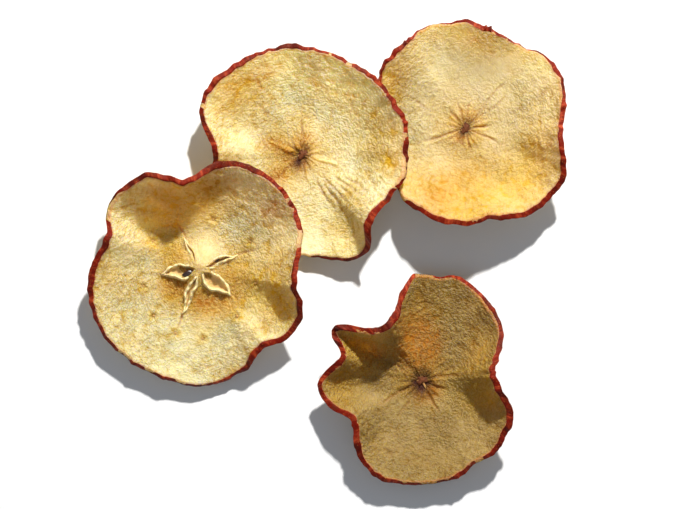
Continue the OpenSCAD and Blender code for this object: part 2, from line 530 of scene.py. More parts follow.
@dataclass(frozen=True)
class Chamber:
    """A seed chamber's outline: its bearing, its two tips and half its width."""

    bearing: float
    inner: float
    outer: float
    half_width: float
    skew: float = 0.8

    def bend(self, along: np.ndarray | float) -> np.ndarray:
        """Returns how far the chamber strays sideways at a distance along it."""
        return 0.34 * np.sin(0.75 * along + self.bearing)

    def outside(self, x: np.ndarray, y: np.ndarray) -> np.ndarray:
        """Measures how far points lie outside the outline.

        Args:
            x: distances from the core along X.
            y: distances from the core along Y.

        Returns:
            The distance of each point, negative inside the outline.
        """
        a = math.radians(self.bearing)
        along = x * math.cos(a) + y * math.sin(a)
        across = y * math.cos(a) - x * math.sin(a) - self.bend(along)
        s = (along - self.inner) / (self.outer - self.inner)
        half = self.half_width * np.sin(math.pi * np.clip(s, 0, 1) ** self.skew)
        beyond = np.maximum(np.maximum(self.inner - along, along - self.outer), 0)
        return np.hypot(np.abs(across) - half, beyond) * np.where(
            (np.abs(across) < half) & (beyond == 0), -1, 1)


@dataclass(frozen=True)
class Design:
    """Everything that makes one slice differ from the others."""

    body: str
    core: Core
    folds: tuple[Fold, ...]
    # Patches of amber-yellow tone; most of them also paint the yellow glow that light through the
    # flesh gives its shaded hollows.
    golden_tone_and_glow: tuple[Patch, ...]
    # Brown patches: some are the flesh's own browning, others paint the shade beside ridges and round
    # the raised chamber star.
    browned_and_shaded: tuple[Patch, ...]
    swells: tuple[Patch, ...]
    calm: tuple[Patch, ...]
    tears: tuple[Tear, ...]
    bare: tuple[Tear, ...]
    # Dark brown at the core, offset to one side: the core's own browning plus a painted shadow beside
    # the knot.
    core_dark_and_shadow: Patch
    seed: float
    core_turn: float = 0.0
    tan: float = 0.0


CHAMBERS = (
    Chamber(21, 2.0, 11.8, 0.75),
    Chamber(114, 2.0, 9.6, 0.45),
    Chamber(187, 1.0, 10.8, 1.95),
    Chamber(250, 2.4, 14.0, 0.75),
    Chamber(321, 1.8, 11.8, 2.1),
)
VEINS = ((28, 18.0), (74, 16.0), (110, 18.0), (149, 16.6), (197, 18.0),
         (226, 20.2), (250, 21.2), (273, 21.6), (309, 18.8), (346, 18.1))
CORE_STEP = (-32.0, -35.5)      # from the middle slice's core to the left slice's, in mm

DESIGNS = (
    Design(
        body="left_slice", core=Core.OPEN_CHAMBERS, core_dark_and_shadow=Patch(200, 4, 2, 0.3), seed=3.0, tan=0.10,
        folds=(
            Fold(113, 9.5, 17.5, -0.45, 0.4, 0.9), Fold(250, 13.5, 21.5, -0.45, 0.4, 0.9),
            Fold(20, 11.5, 20, -0.3, 0.5, 0.7), Fold(322, 11.5, 17, -0.25, 0.4, 0.5),
            Fold(183, 10.5, 19, 0.25, 0.6, 0.1), Fold(96, 20, 30, -0.25, 1.2, 0.2),
            Fold(300, 24, 33, -0.3, 1.4, 0.1), Fold(158, 23, 32, -0.3, 1.0, 0.1),
        ),
        golden_tone_and_glow=(Patch(112, 23, 10, 0.9), Patch(84, 25, 9, 0.8), Patch(138, 15, 6.5, 0.8),
                Patch(338, 27, 8, 0.9), Patch(184, 27, 5, 0.5), Patch(352, 24, 7, 0.4),
                Patch(12, 24, 5, 0.4), Patch(200, 9, 5, 0.9), Patch(240, 9, 6, 0.9),
                Patch(290, 10, 7, 1.0), Patch(330, 13, 7, 0.95), Patch(150, 8, 4, 0.7),
                Patch(10, 13, 5, 0.5), Patch(0, 0, 11, 0.28)),
        browned_and_shaded=(Patch(38, 31, 3.0, 0.6), Patch(42, 27, 3.5, 0.3), Patch(303, 12, 5.0, 0.75),
                  Patch(285, 33, 4, 0.3), Patch(80, 26, 6, 0.45), Patch(275, 10, 3.8, 0.75),
                  Patch(208, 9, 4.5, 0.85), Patch(235, 7, 3.5, 0.6), Patch(340, 13, 5, 0.4),
                  Patch(0, 7, 3.0, 0.3), Patch(140, 7, 3.5, 0.3)),
        swells=(Patch(66, 6.0, 5.0, 1.1), Patch(0, 0, 5.0, 0.7), Patch(150, 6, 4, 0.5),
                Patch(220, 9, 4, -0.4), Patch(300, 12, 5, -0.7), Patch(350, 9, 4, 0.3)),
        calm=(Patch(50, 6, 4.5, 0.72), Patch(85, 6.5, 4.5, 0.72), Patch(0, 0, 3, 0.5)),
        tears=(Tear(41, 2.6, inward=3.0), Tear(35, 3.0, inward=1.6), Tear(159, 3.4, inward=1.0),
               Tear(12, 2.5, inward=0.8), Tear(303, 9, outward=1.0), Tear(43.5, 0.8, outward=0.7),
               Tear(104, 15, outward=0.7), Tear(357, 7, outward=1.0), Tear(170, 9, outward=0.4),
               Tear(342, 6, outward=0.4), Tear(285, 5, outward=0.6)),
        bare=(Tear(141, 7, drop=0.9), Tear(16, 5, drop=0.5), Tear(50, 8, drop=0.5),
              Tear(69, 8, drop=0.3)),
    ),
    Design(
        body="middle_slice", core=Core.CLOSED_KNOT, core_dark_and_shadow=Patch(250, 2.4, 2.6, 1.1), seed=11.0,
        core_turn=20,
        folds=(
            Fold(342, 2.2, 14, 0.75, 0.5, 0.35), Fold(284, 3, 9.5, 0.5, 0.4, 0.5),
            Fold(163, 2.2, 10.5, 0.6, 0.5, 0.5), Fold(119, 1.8, 5, 0.6, 0.45, 0.3),
            Fold(90, 4, 15, -0.3, 0.5, 0.5), Fold(222, 3, 13, -0.35, 0.5, 0.8),
            Fold(200, 3, 8, -0.3, 0.4, 0.5), Fold(40, 2.5, 7, 0.3, 0.5, 0.3),
            Fold(122, 23, 30, -0.3, 0.5, 0.6), Fold(132, 15, 22, -0.2, 0.6, 0.4),
            Fold(299, 9, 22, -0.40, 0.5, 0.5), Fold(306, 11, 24, -0.45, 0.5, 0.4),
            Fold(313, 9, 23, -0.45, 0.5, 0.5), Fold(319, 13, 26, -0.45, 0.5, 0.4),
            Fold(325, 11, 24, -0.45, 0.5, 0.5), Fold(331, 14, 25, -0.40, 0.5, 0.4),
            Fold(155, 8, 14, -0.25, 0.4, 0.7),
        ),
        golden_tone_and_glow=(Patch(134, 28, 9, 0.85), Patch(303, 30, 7, 0.6), Patch(15, 25, 9, 0.5),
                Patch(355, 27, 4, 0.8), Patch(90, 12, 4, 0.5), Patch(195, 25, 6, 0.9),
                Patch(165, 10, 5, 0.5), Patch(220, 11, 5, 0.6), Patch(0, 0, 10, 0.18)),
        browned_and_shaded=(Patch(160, 8.5, 2.4, 0.75), Patch(166, 12, 1.8, 0.5), Patch(222, 9.5, 2.4, 0.9),
                  Patch(216, 12.5, 1.8, 0.6), Patch(85, 4.5, 2.6, 0.8), Patch(180, 4.5, 3.4, 0.6),
                  Patch(250, 2.8, 2.4, 1.0)),
        swells=(Patch(60, 8, 5, 0.3), Patch(255, 16, 7, 0.5)),
        calm=(Patch(30, 10, 9, 0.4), Patch(272, 25, 9, 0.8), Patch(165, 19, 7, 0.5)),
        tears=(Tear(16, 0.9, outward=0.7), Tear(309, 2, outward=0.5, inward=0.5),
               Tear(140, 1.5, outward=0.5), Tear(147, 1.0, outward=0.4), Tear(137, 12, outward=0.4),
               Tear(178, 12, outward=0.5), Tear(325, 14, outward=0.3)),
        bare=(Tear(350, 9, drop=0.7), Tear(80, 12, drop=0.5), Tear(108, 10, drop=0.4),
              Tear(45, 12, drop=0.4), Tear(215, 20, drop=0.6), Tear(280, 14, drop=0.4)),
    ),
    Design(
        body="right_slice", core=Core.CLOSED_KNOT, core_dark_and_shadow=Patch(240, 1.8, 1.9, 0.8), seed=23.0,
        core_turn=8, tan=0.42,
        folds=(
            Fold(197, 2.4, 16.5, -0.45, 0.5, 0.8), Fold(193, 3, 13, 0.3, 0.5, 0.0),
            Fold(337, 2.4, 13, -0.45, 0.5, 0.8), Fold(341, 3, 12, 0.3, 0.5, 0.0),
            Fold(8, 2.2, 9, -0.45, 0.4, 0.8), Fold(281, 2.4, 8, -0.5, 0.4, 0.8),
            Fold(277, 3, 9, 0.3, 0.4, 0.0), Fold(51, 10, 21, -0.22, 0.4, 0.5),
            Fold(37, 9, 18, -0.22, 0.4, 0.4), Fold(104, 3, 9.5, -0.3, 0.4, 0.5),
            Fold(80, 3, 9, -0.3, 0.4, 0.5), Fold(131, 3, 9, -0.35, 0.4, 0.6),
            Fold(152, 13, 20, -0.2, 0.4, 0.4), Fold(62, 2.4, 7, 0.35, 0.4, 0.3),
            Fold(160, 2.4, 6, 0.35, 0.5, 0.2), Fold(305, 3, 8, 0.25, 0.5, 0.2),
            Fold(232, 2.6, 7, 0.3, 0.5, 0.2), Fold(20, 3, 12, 0.2, 0.5, 0.1),
        ),
        golden_tone_and_glow=(Patch(84, 27.5, 4.5, 0.6), Patch(147, 28, 5, 0.8), Patch(335, 22, 9, 0.65),
                Patch(250, 22, 8, 0.8), Patch(290, 20, 9, 0.7), Patch(312, 26, 8, 0.6),
                Patch(222, 24, 7, 0.6), Patch(270, 26, 8, 0.6), Patch(265, 12, 6, 0.35)),
        browned_and_shaded=(Patch(246, 23.5, 5.5, 0.6), Patch(278, 15, 6, 0.3), Patch(257, 18, 4, 0.3),
                  Patch(45, 6, 3.0, 0.35), Patch(100, 5, 2.6, 0.4), Patch(240, 3, 2.2, 0.7),
                  Patch(350, 24, 5, 0.2)),
        swells=(Patch(230, 10, 6, 0.3), Patch(40, 14, 8, 0.3)),
        calm=(Patch(60, 23, 9, 0.8), Patch(105, 22, 10, 0.8), Patch(0, 8, 6, 0.4),
              Patch(75, 14, 7, 0.4)),
        tears=(Tear(79, 0.5, outward=0.9), Tear(76.5, 0.5, outward=0.8), Tear(12, 1.6, outward=0.9),
               Tear(123, 1.2, outward=0.6), Tear(126, 0.7, outward=0.7), Tear(140, 1.0, outward=0.5),
               Tear(138, 13, outward=0.4), Tear(350, 16, outward=0.5)),
        bare=(Tear(49, 11, drop=0.85), Tear(104, 14, drop=0.85), Tear(22, 9, drop=0.5),
              Tear(285, 14, drop=0.4), Tear(240, 12, drop=0.4)),
    ),
    Design(
        body="front_slice", core=Core.CLOSED_KNOT, core_dark_and_shadow=Patch(250, 1.0, 3.9, 1.3), seed=37.0,
        core_turn=50, tan=1.0,
        folds=(
            Fold(208, 2.6, 17, -0.5, 0.6, 0.8), Fold(131, 3, 17, -0.4, 0.5, 0.8),
            Fold(139, 4, 15, -0.3, 0.5, 0.6), Fold(151, 4, 12, -0.3, 0.5, 0.5),
            Fold(11, 2.6, 16, -0.4, 0.5, 0.7), Fold(21, 3, 13, -0.3, 0.5, 0.5),
            Fold(337, 2.6, 9, -0.45, 0.6, 0.9), Fold(320, 3, 8, 0.3, 0.5, 0.5),
            Fold(297, 3.5, 13.5, -0.4, 0.45, 0.8), Fold(238, 7, 14, -0.25, 0.5, 0.5),
            Fold(268, 11, 24, -0.25, 1.4, 0.2), Fold(58, 3, 14, 0.35, 0.5, 0.4),
            Fold(76, 3, 13, 0.35, 0.5, 0.4), Fold(93, 3, 12, -0.35, 0.5, 0.6),
            Fold(108, 3, 13, 0.35, 0.5, 0.5), Fold(120, 3, 15, 0.35, 0.5, 0.5),
            Fold(44, 4, 12, 0.3, 0.5, 0.3), Fold(192, 4, 12, 0.3, 0.5, 0.1),
            Fold(172, 6, 13, -0.2, 0.5, 0.3), Fold(222, 4, 9, 0.3, 0.5, 0.2),
        ),
        golden_tone_and_glow=(Patch(148, 22, 8, 0.95), Patch(348, 19, 7, 0.85), Patch(25, 20, 6, 0.5),
                Patch(186, 26, 6, 0.6), Patch(92, 20, 7, 0.4)),
        browned_and_shaded=(Patch(90, 8.0, 4.5, 0.95), Patch(100, 15, 5, 0.8), Patch(75, 13, 4.5, 0.7),
                  Patch(118, 9, 4, 0.8), Patch(112, 20, 3.5, 0.5), Patch(155, 16, 6, 0.35),
                  Patch(88, 19, 4, 0.4), Patch(300, 5, 3, 0.5), Patch(260, 5, 3, 0.5),
                  Patch(30, 18, 5, 0.25), Patch(330, 4, 3, 0.5)),
        swells=(Patch(100, 10, 6, 0.5), Patch(240, 12, 7, 0.3)),
        calm=(Patch(260, 12, 9, 0.4), Patch(60, 26, 7, 0.3)),
        tears=(Tear(146.5, 1.4, outward=0.9), Tear(154, 1.6, outward=0.8), Tear(290, 1.5, outward=0.6),
               Tear(256, 1.2, inward=0.8), Tear(162, 3, inward=0.7), Tear(197, 10, outward=0.4),
               Tear(222, 18, outward=0.3), Tear(0, 16, outward=0.6), Tear(105, 9, outward=0.4)),
        bare=(Tear(50, 16, drop=0.6), Tear(80, 9, drop=0.5), Tear(275, 16, drop=0.4)),
    ),
)


# ---------------------------------------------------------------- finishes


@dataclass(frozen=True)
class FleshFinish:
    """Dried apple flesh: cream, crepe-wrinkled, amber-yellow where it is thin, brown at the core, with
    painted glow in shaded hollows, painted shade in the wrinkles and creases and a painted shadow
    beside the knot.
    """

    cream: Colour = rgb(0.885, 0.740, 0.435)
    straw: Colour = rgb(0.60, 0.385, 0.080)
    # Amber-yellow: the flesh's own tone where it is thin, and painted glow in shaded hollows.
    honey_tone_and_glow: Colour = rgb(0.68, 0.385, 0.012)
    # Brown: the flesh's own browning, and painted shade beside ridges and in creases.
    rust_and_shade: Colour = rgb(0.44, 0.165, 0.008)
    # Near black: the core's dark brown and a painted shadow beside the knot.
    bark_and_shadow: Colour = rgb(0.065, 0.014, 0.005)
    blush: Colour = rgb(0.60, 0.24, 0.09)
    tan: Colour = rgb(0.43, 0.360, 0.215)
    subsurface: float = 0.8
    subsurface_mm: float = 4.0

    def material(self) -> bpy.types.Material:
        """Builds the node tree.

        Returns:
            The material; it reads the flesh's own masks.
        """
        tree = SurfaceTree("dried_flesh", {
            "Subsurface Weight": self.subsurface, "Subsurface Scale": self.subsurface_mm * MM,
            "Subsurface Radius": (1.0, 0.86, 0.18), "Specular IOR Level": 0.38, "IOR": 1.42})
        place = tree.place()
        crepe = tree.share("crepe")
        ring = tree.bent(tree.arrow("ring_place"), 0.7, 0.8)
        mottle = tree.noise(place, 0.10, 4, 0.62).smooth(0.40, 0.66)
        fleck = tree.noise(place, 1.1, 4, 0.7).smooth(0.53, 0.72)
        pillow = tree.cells(ring, 1.55, "SMOOTH_F1")
        fine = tree.cells(tree.bent(place, 1.6, 0.5), 2.9, "SMOOTH_F1")
        # Painted shade: the low parts of the wrinkles are coloured darker and yellower; mottle and
        # fleck are the flesh's own tone.
        gap = pillow.smooth(0.34, 0.66)
        valley_shade = crepe.smooth(0.54, 0.26)
        fine_gap_shade = fine.smooth(0.36, 0.66)
        stretch = tree.noise(place, 0.075, 2).smooth(0.36, 0.62)
        rough_skin = (1.0 - tree.share("calm")) * (0.40 + stretch * 0.70)
        warm_tone_and_shade = ((mottle * 0.34 + valley_shade * 0.50 + gap * 0.34 + fleck * 0.34 + fine_gap_shade * 0.2)
                * (0.38 + rough_skin * 0.70)).clamped()
        colour = tree.mix(warm_tone_and_shade, self.cream, self.straw)
        dark = tree.mix(1.0, colour, self.tan, "MULTIPLY")
        colour = tree.mix(tree.share("tan"), colour, dark)
        # Painted glow and shade: amber-yellow over shaded hollows stands in for light passing through
        # the flesh, mixed with the flesh's own tone.
        gold_tone_and_glow = tree.share("golden_tone_and_glow") * (0.66 + valley_shade * 0.4) * (1.0 - tree.share("tan") * 0.35)
        colour = tree.mix(gold_tone_and_glow.clamped(), colour, self.honey_tone_and_glow)
        # Painted shade and real browning: brown patches, darker in the low parts of the wrinkles.
        scorch = tree.share("scorch") * (0.50 + gap * 0.45 + valley_shade * 0.6)
        colour = tree.mix(scorch.clamped(), colour, self.rust_and_shade)
        # Painted shade: darker along folds, round chamber edges and in thread pits.
        colour = tree.mix((tree.share("crease_shade") * 0.62).clamped(), colour, self.rust_and_shade)
        # Painted shadow beside the knot, over the core's own dark brown.
        colour = tree.mix(tree.share("core_dark_and_shadow").clamped(), colour, self.bark_and_shadow)
        colour = tree.mix(tree.share("rim").smooth(0.35, 1.0) * 0.6, colour, self.blush)
        roughness = 0.50 + gap * 0.22 + valley_shade * 0.12
        wrinkles = tree.bump((1.0 - pillow) * rough_skin, 1.2)
        normal = tree.bump((1.0 - fine) * rough_skin, 0.32, wrinkles)
        return tree.finish(colour, roughness, normal)


@dataclass(frozen=True)
class PeelFinish:
    """Dried red apple peel: waxy, crimped, streaked, with pale lenticels."""

    red: Colour = rgb(0.175, 0.006, 0.001)
    # Dark red: the peel's own blotches, and painted shade in its wrinkles.
    maroon: Colour = rgb(0.045, 0.002, 0.0005)
    rose: Colour = rgb(0.42, 0.055, 0.016)
    amber: Colour = rgb(0.52, 0.18, 0.03)

    def material(self) -> bpy.types.Material:
        """Builds the node tree.

        Returns:
            The material; it reads the peel's own numbers.
        """
        tree = SurfaceTree("dried_peel", {
            "Specular IOR Level": 0.26, "Specular Tint": rgb(1.0, 0.50, 0.36),
            "Coat Weight": 0.015, "Coat Roughness": 0.3,
            "Subsurface Weight": 0.12, "Subsurface Scale": 0.6 * MM,
            "Subsurface Radius": (1.0, 0.2, 0.1)})
        place = tree.place()
        band = tree.share("band")
        rim = tree.arrow("rim_place")
        streak = tree.noise(tree.vector("ADD", rim, tree.scaled(place, 0.4)), 0.5, 4, 0.65)
        blotch = tree.noise(place, 0.13, 4, 0.65)
        wrinkle_and_shade = tree.noise(place, 1.5, 4, 0.65, distortion=0.8)
        specks = tree.cells(place, 1.15).smooth(0.20, 0.10)
        colour = tree.mix(streak.smooth(0.46, 0.68), self.red, self.rose)
        colour = tree.mix(blotch.smooth(0.46, 0.62) * 0.75, colour, self.maroon)
        # Painted shade: darker red in the low parts of the peel's wrinkles.
        colour = tree.mix(wrinkle_and_shade.smooth(0.46, 0.30) * 0.4, colour, self.maroon)
        colour = tree.mix(specks * 0.5, colour, self.amber)
        edge = (band.smooth(0.20, 0.08) + band.smooth(0.86, 0.95)).clamped()
        colour = tree.mix(edge * 0.75, colour, self.amber)
        roughness = 0.36 + wrinkle_and_shade * 0.28
        normal = tree.bump(specks, 0.04, tree.bump(wrinkle_and_shade, 0.26))
        return tree.finish(colour, roughness, normal)


@dataclass(frozen=True)
class HuskFinish:
    """A stiff dry husk: two tones with fibres and painted shade where it lies further in, used for
    linings, core flakes and threads.
    """

    name: str
    light: Colour
    dark: Colour
    roughness: float = 0.42
    fibre: float = 3.0
    relief_mm: float = 0.12
    subsurface: float = 0.2

    def material(self) -> bpy.types.Material:
        """Builds the node tree.

        Returns:
            The material; it darkens points that lie further in or lower down, as painted shade.
        """
        tree = SurfaceTree(self.name, {
            "Subsurface Weight": self.subsurface, "Subsurface Scale": 0.5 * MM,
            "Subsurface Radius": (1.0, 0.5, 0.2), "Specular IOR Level": 0.28})
        place = tree.place()
        stretched = tree.vector("MULTIPLY", place, (1.0, 1.0, 0.35))
        fibres = tree.noise(stretched, self.fibre, 4, 0.65, distortion=0.4)
        blotch = tree.noise(place, 0.55, 3, 0.55)
        colour = tree.mix(fibres.smooth(0.30, 0.52), self.dark, self.light)
        colour = tree.mix(blotch.smooth(0.50, 0.30) * 0.5, colour, self.dark)
        # Painted shade: darker where the piece lies further in or lower down.
        colour = tree.mix(tree.share("depth_shade").clamped(), colour, self.dark)
        return tree.finish(colour, self.roughness + fibres * 0.2,
                           tree.bump(fibres, self.relief_mm))


LINING_FINISH = HuskFinish("chamber_lining", rgb(0.92, 0.78, 0.42), rgb(0.55, 0.28, 0.05), 0.36,
                           subsurface=0.35)
TIP_FINISH = HuskFinish("core_tips", rgb(0.62, 0.35, 0.10), rgb(0.20, 0.055, 0.010), 0.45)
KNOT_FINISH = HuskFinish("core_knot", rgb(0.26, 0.075, 0.015), rgb(0.06, 0.014, 0.004), 0.6, 2.2, 0.2)
THREAD_FINISH = HuskFinish("vein_threads", rgb(0.70, 0.45, 0.14), rgb(0.36, 0.17, 0.04), 0.5)


@dataclass(frozen=True)
class SeedFinish:
    """A glossy dark brown apple seed with fine lengthwise grain and dusty scuffs."""

    brown: Colour = rgb(0.055, 0.020, 0.010)
    black: Colour = rgb(0.010, 0.006, 0.005)
    dust: Colour = rgb(0.30, 0.24, 0.18)

    def material(self) -> bpy.types.Material:
        """Builds the node tree.

        Returns:
            The material.
        """
        tree = SurfaceTree("seed_coat", {"Coat Weight": 0.5, "Coat Roughness": 0.18,
                                         "Specular IOR Level": 0.6})
        place = tree.place()
        grain = tree.noise(tree.vector("MULTIPLY", place, (1.0, 4.0, 4.0)), 1.6, 4, 0.6)
        scuff = tree.noise(place, 2.4, 4, 0.7).smooth(0.60, 0.74)
        colour = tree.mix(grain.smooth(0.38, 0.66), self.black, self.brown)
        colour = tree.mix(scuff * 0.45, colour, self.dust)
        return tree.finish(colour, 0.24 + scuff * 0.4, tree.bump(grain, 0.08))


@dataclass(frozen=True)
class FloorFinish:
    """The plain pale floor: matt white board with a faint tooth."""

    white: Colour = rgb(0.88, 0.88, 0.885)
    shade: Colour = rgb(0.8, 0.8, 0.8)

    def material(self) -> bpy.types.Material:
        """Builds the node tree.

        Returns:
            The material.
        """
        tree = SurfaceTree("pale_floor", {"Specular IOR Level": 0.2})
        tooth = tree.noise(tree.place(), 0.8, 3)
        colour = tree.mix(tooth * 0.04, self.white, self.shade)
        return tree.finish(colour, 0.8 + tooth * 0.1, tree.bump(tooth, 0.01))


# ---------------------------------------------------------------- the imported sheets


@dataclass
class PackedSheet:
    """The upper and lower faces of one packed slice, sampled round its core, in millimetres."""

    node: str
    core: tuple[float, float]
    bearings: int = 448
    rings: int = 92
    inner_share: float = 0.012
    search_step: float = 0.25
    seed: int = 0
    ragged_mm: float = 0.42
    wavy_mm: float = 0.36
    edge_share: float = 0.62

    def __post_init__(self) -> None:
        """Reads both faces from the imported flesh."""
        graph = bpy.context.evaluated_depsgraph_get()
        self.tree = BVHTree.FromObject(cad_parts[self.node], graph)
        self.angle = np.arange(self.bearings) * FULL_TURN / self.bearings
        self.share = np.linspace(0, 1, self.rings) ** 0.92 * (1 - self.inner_share) + self.inner_share
        self.upper_reach, self.lower_reach = self._edges()
        self.upper = self._face(self.upper_reach, from_above=True)
        self.lower = self._face(self.lower_reach, from_above=False)
        self._wear_rim()

    def _ripple(self, slowest: int, fastest: int, turn: int) -> np.ndarray:
        """Returns a closed random wave round the rim, about 1 at most.

        Args:
            slowest: waves per turn of the slowest part.
            fastest: waves per turn of the fastest part.
            turn: which random draw to use.

        Returns:
            One number for each bearing.
        """
        draw = np.random.default_rng(100 * self.seed + turn)
        total = np.zeros(self.bearings)
        for k in range(slowest, fastest):
            total += draw.normal() / k ** 0.8 * np.sin(k * self.angle + draw.uniform(0, FULL_TURN))
        return total / (2.2 * total.std())

    def _wear_rim(self) -> None:
        """Makes the rim ragged and thinner, as a shrivelled edge is."""
        self.girth = self._ripple(3, 22, 5)
        notches = 0.5 - np.abs(self._ripple(9, 34, 1))
        self.jag = self.ragged_mm * (1.4 * notches + 0.22 * self._ripple(34, 110, 2))
        near = ramp(self.share, self.edge_share, 1.0)[:, None]
        wave = self.wavy_mm * (self._ripple(10, 40, 3) + 0.15 * self._ripple(40, 110, 4))
        less = 0.40 * ramp(self.share, 0.30, 0.62) + 0.10 * ramp(self.share, 0.85, 1.0)
        thinner = less[:, None] * (self.upper - self.lower)
        self.upper = self.upper + near * wave
        self.lower = np.maximum(self.lower + near * wave + thinner, 0.0)

    def _hit(self, angle: float, reach: float, from_above: bool) -> float:
        """Looks for a face above or below a point.

        Args:
            angle: the bearing from the core, in radians.
            reach: the distance from the core.
            from_above: True for the upper face.

        Returns:
            The face's height, or NaN where there is none.
        """
        x = self.core[0] + reach * math.cos(angle)
        y = self.core[1] + reach * math.sin(angle)
        start, way = (1.0, -1.0) if from_above else (-1.0, 1.0)
        found = self.tree.ray_cast(Vector((x * MM, y * MM, start)), Vector((0, 0, way)))[0]
        return math.nan if found is None else found.z / MM

    def _edges(self) -> tuple[np.ndarray, np.ndarray]:
        """Finds both edges at each bearing.

        Returns:
            The reach of the crest above and of the outer edge below.
        """
        upper, lower = [], []
        reaches = np.arange(17.0, 40.0, self.search_step)
        for angle in self.angle:
            tops = np.array([self._hit(angle, r, True) for r in reaches])
            last = np.flatnonzero(~np.isnan(tops))[-1]
            crest = reaches[np.nanargmax(tops)]
            near = crest + np.linspace(-1, 1, 11) * self.search_step
            fine = np.array([self._hit(angle, r, True) for r in near])
            upper.append(near[np.nanargmax(fine)])
            low, high = reaches[last], reaches[last] + self.search_step
            for _ in range(5):
                middle = (low + high) / 2
                if math.isnan(self._hit(angle, middle, False)):
                    high = middle
                else:
                    low = middle
            lower.append(low)
        return softened(np.array(upper), 2, -1), softened(np.array(lower), 2, -1)

    def _face(self, reach: np.ndarray, from_above: bool) -> np.ndarray:
        """Samples a face.

        Args:
            reach: the edge's distance from the core at each bearing.
            from_above: True for the upper face.

        Returns:
            The heights, one row for each ring, with holes bridged and facets softened.
        """
        heights = np.array([[self._hit(a, min(s, 0.996) * r, from_above)
                             for a, r in zip(self.angle, reach)] for s in self.share])
        for row in heights:
            gap = np.isnan(row)
            if gap.any():
                row[gap] = np.interp(self.angle[gap], self.angle[~gap], row[~gap], period=FULL_TURN)
        return softened(softened(heights, 4, -1), 5, 0)

    def height(self, x: float, y: float) -> float:
        """Looks up the sheet's height at a point.

        Args:
            x: distance from the core along X.
            y: distance from the core along Y.

        Returns:
            The upper face's height.
        """
        reach, angle = math.hypot(x, y), math.atan2(y, x) % FULL_TURN
        j = int(round(angle / FULL_TURN * self.bearings)) % self.bearings
        return float(np.interp(reach / self.upper_reach[j], self.share, self.upper[:, j]))

    def points(self, reach: np.ndarray, heights: np.ndarray) -> np.ndarray:
        """Returns a face's points relative to the core, as rings of x, y, z."""
        r = self.share[:, None] * reach + ramp(self.share, 0.8, 1.0)[:, None] * self.jag
        return np.stack([r * np.cos(self.angle), r * np.sin(self.angle), heights], axis=-1)


# ---------------------------------------------------------------- the flesh


class CrepeTree(GrowthTree):
    """Raises the crepe wrinkles of a dried sheet: rings near the core, a net further out."""

    def __init__(self) -> None:
        """Builds the tree."""
        super().__init__("crepe_wrinkles", {
            "Material": None, "Core": (0.0, 0.0, 0.0), "Seed": 0.0, "Wrinkle depth": 0.62,
            "Wave depth": 1.2, "Ring turns": 9.0, "Ring spacing": 0.62, "Net spacing": 0.60,
            "Wave spacing": 0.15})
        geometry = self.given("Geometry")
        place = self.scaled(self.node("GeometryNodeInputPosition"), 1 / MM)
        spoke = self.vector("MULTIPLY", self.vector("SUBTRACT", place, self.given("Core")), (1, 1, 0))
        reach = self.vector("LENGTH", spoke, out="Value")
        way = self.scaled(self.vector("NORMALIZE", spoke), self.given("Ring turns"))
        lift = self.combined(0.0, 0.0, reach * self.given("Ring spacing") + self.given("Seed"))
        rings = self.noise(self.vector("ADD", way, lift), 1.0, 3, 0.55, distortion=0.5)
        shifted = self.vector("ADD", place, self.combined(self.given("Seed"), 0.0, 0.0))
        spread = self.scaled(self.bent(shifted, 0.35, 1.1), self.given("Net spacing"))
        net = 0.98 - self.cells(spread, 1.0, "SMOOTH_F1")
        wave = self.noise(self.scaled(shifted, self.given("Wave spacing")), 1.0, 3, 0.5)
        outer = self.field("share").smooth(0.25, 0.75) * 0.7 + 0.2
        crepe = rings * (1.0 - outer) + net * outer
        lively = (1.0 + self.field("scorch") * 1.1) * (0.55 + wave.smooth(0.40, 0.60) * 0.65)
        rise = ((crepe - 0.5) * self.given("Wrinkle depth") * lively
                + (wave - 0.5) * self.given("Wave depth")) * self.field("free")
        normal = self.node("GeometryNodeInputNormal")
        moved = self.vector("ADD", place, self.scaled(normal, rise))
        split = self.node("ShaderNodeSeparateXYZ", inputs={0: moved})
        parts = split.socket.node.outputs
        grounded = self.combined(Value(self, parts[0]), Value(self, parts[1]),
                                 self.math("MAXIMUM", Value(self, parts[2]), 0.02))
        shaped = self.node("GeometryNodeSetPosition",
                           inputs={"Geometry": geometry, "Position": self.scaled(grounded, MM)})
        self.end(self.kept(shaped, "crepe", crepe))


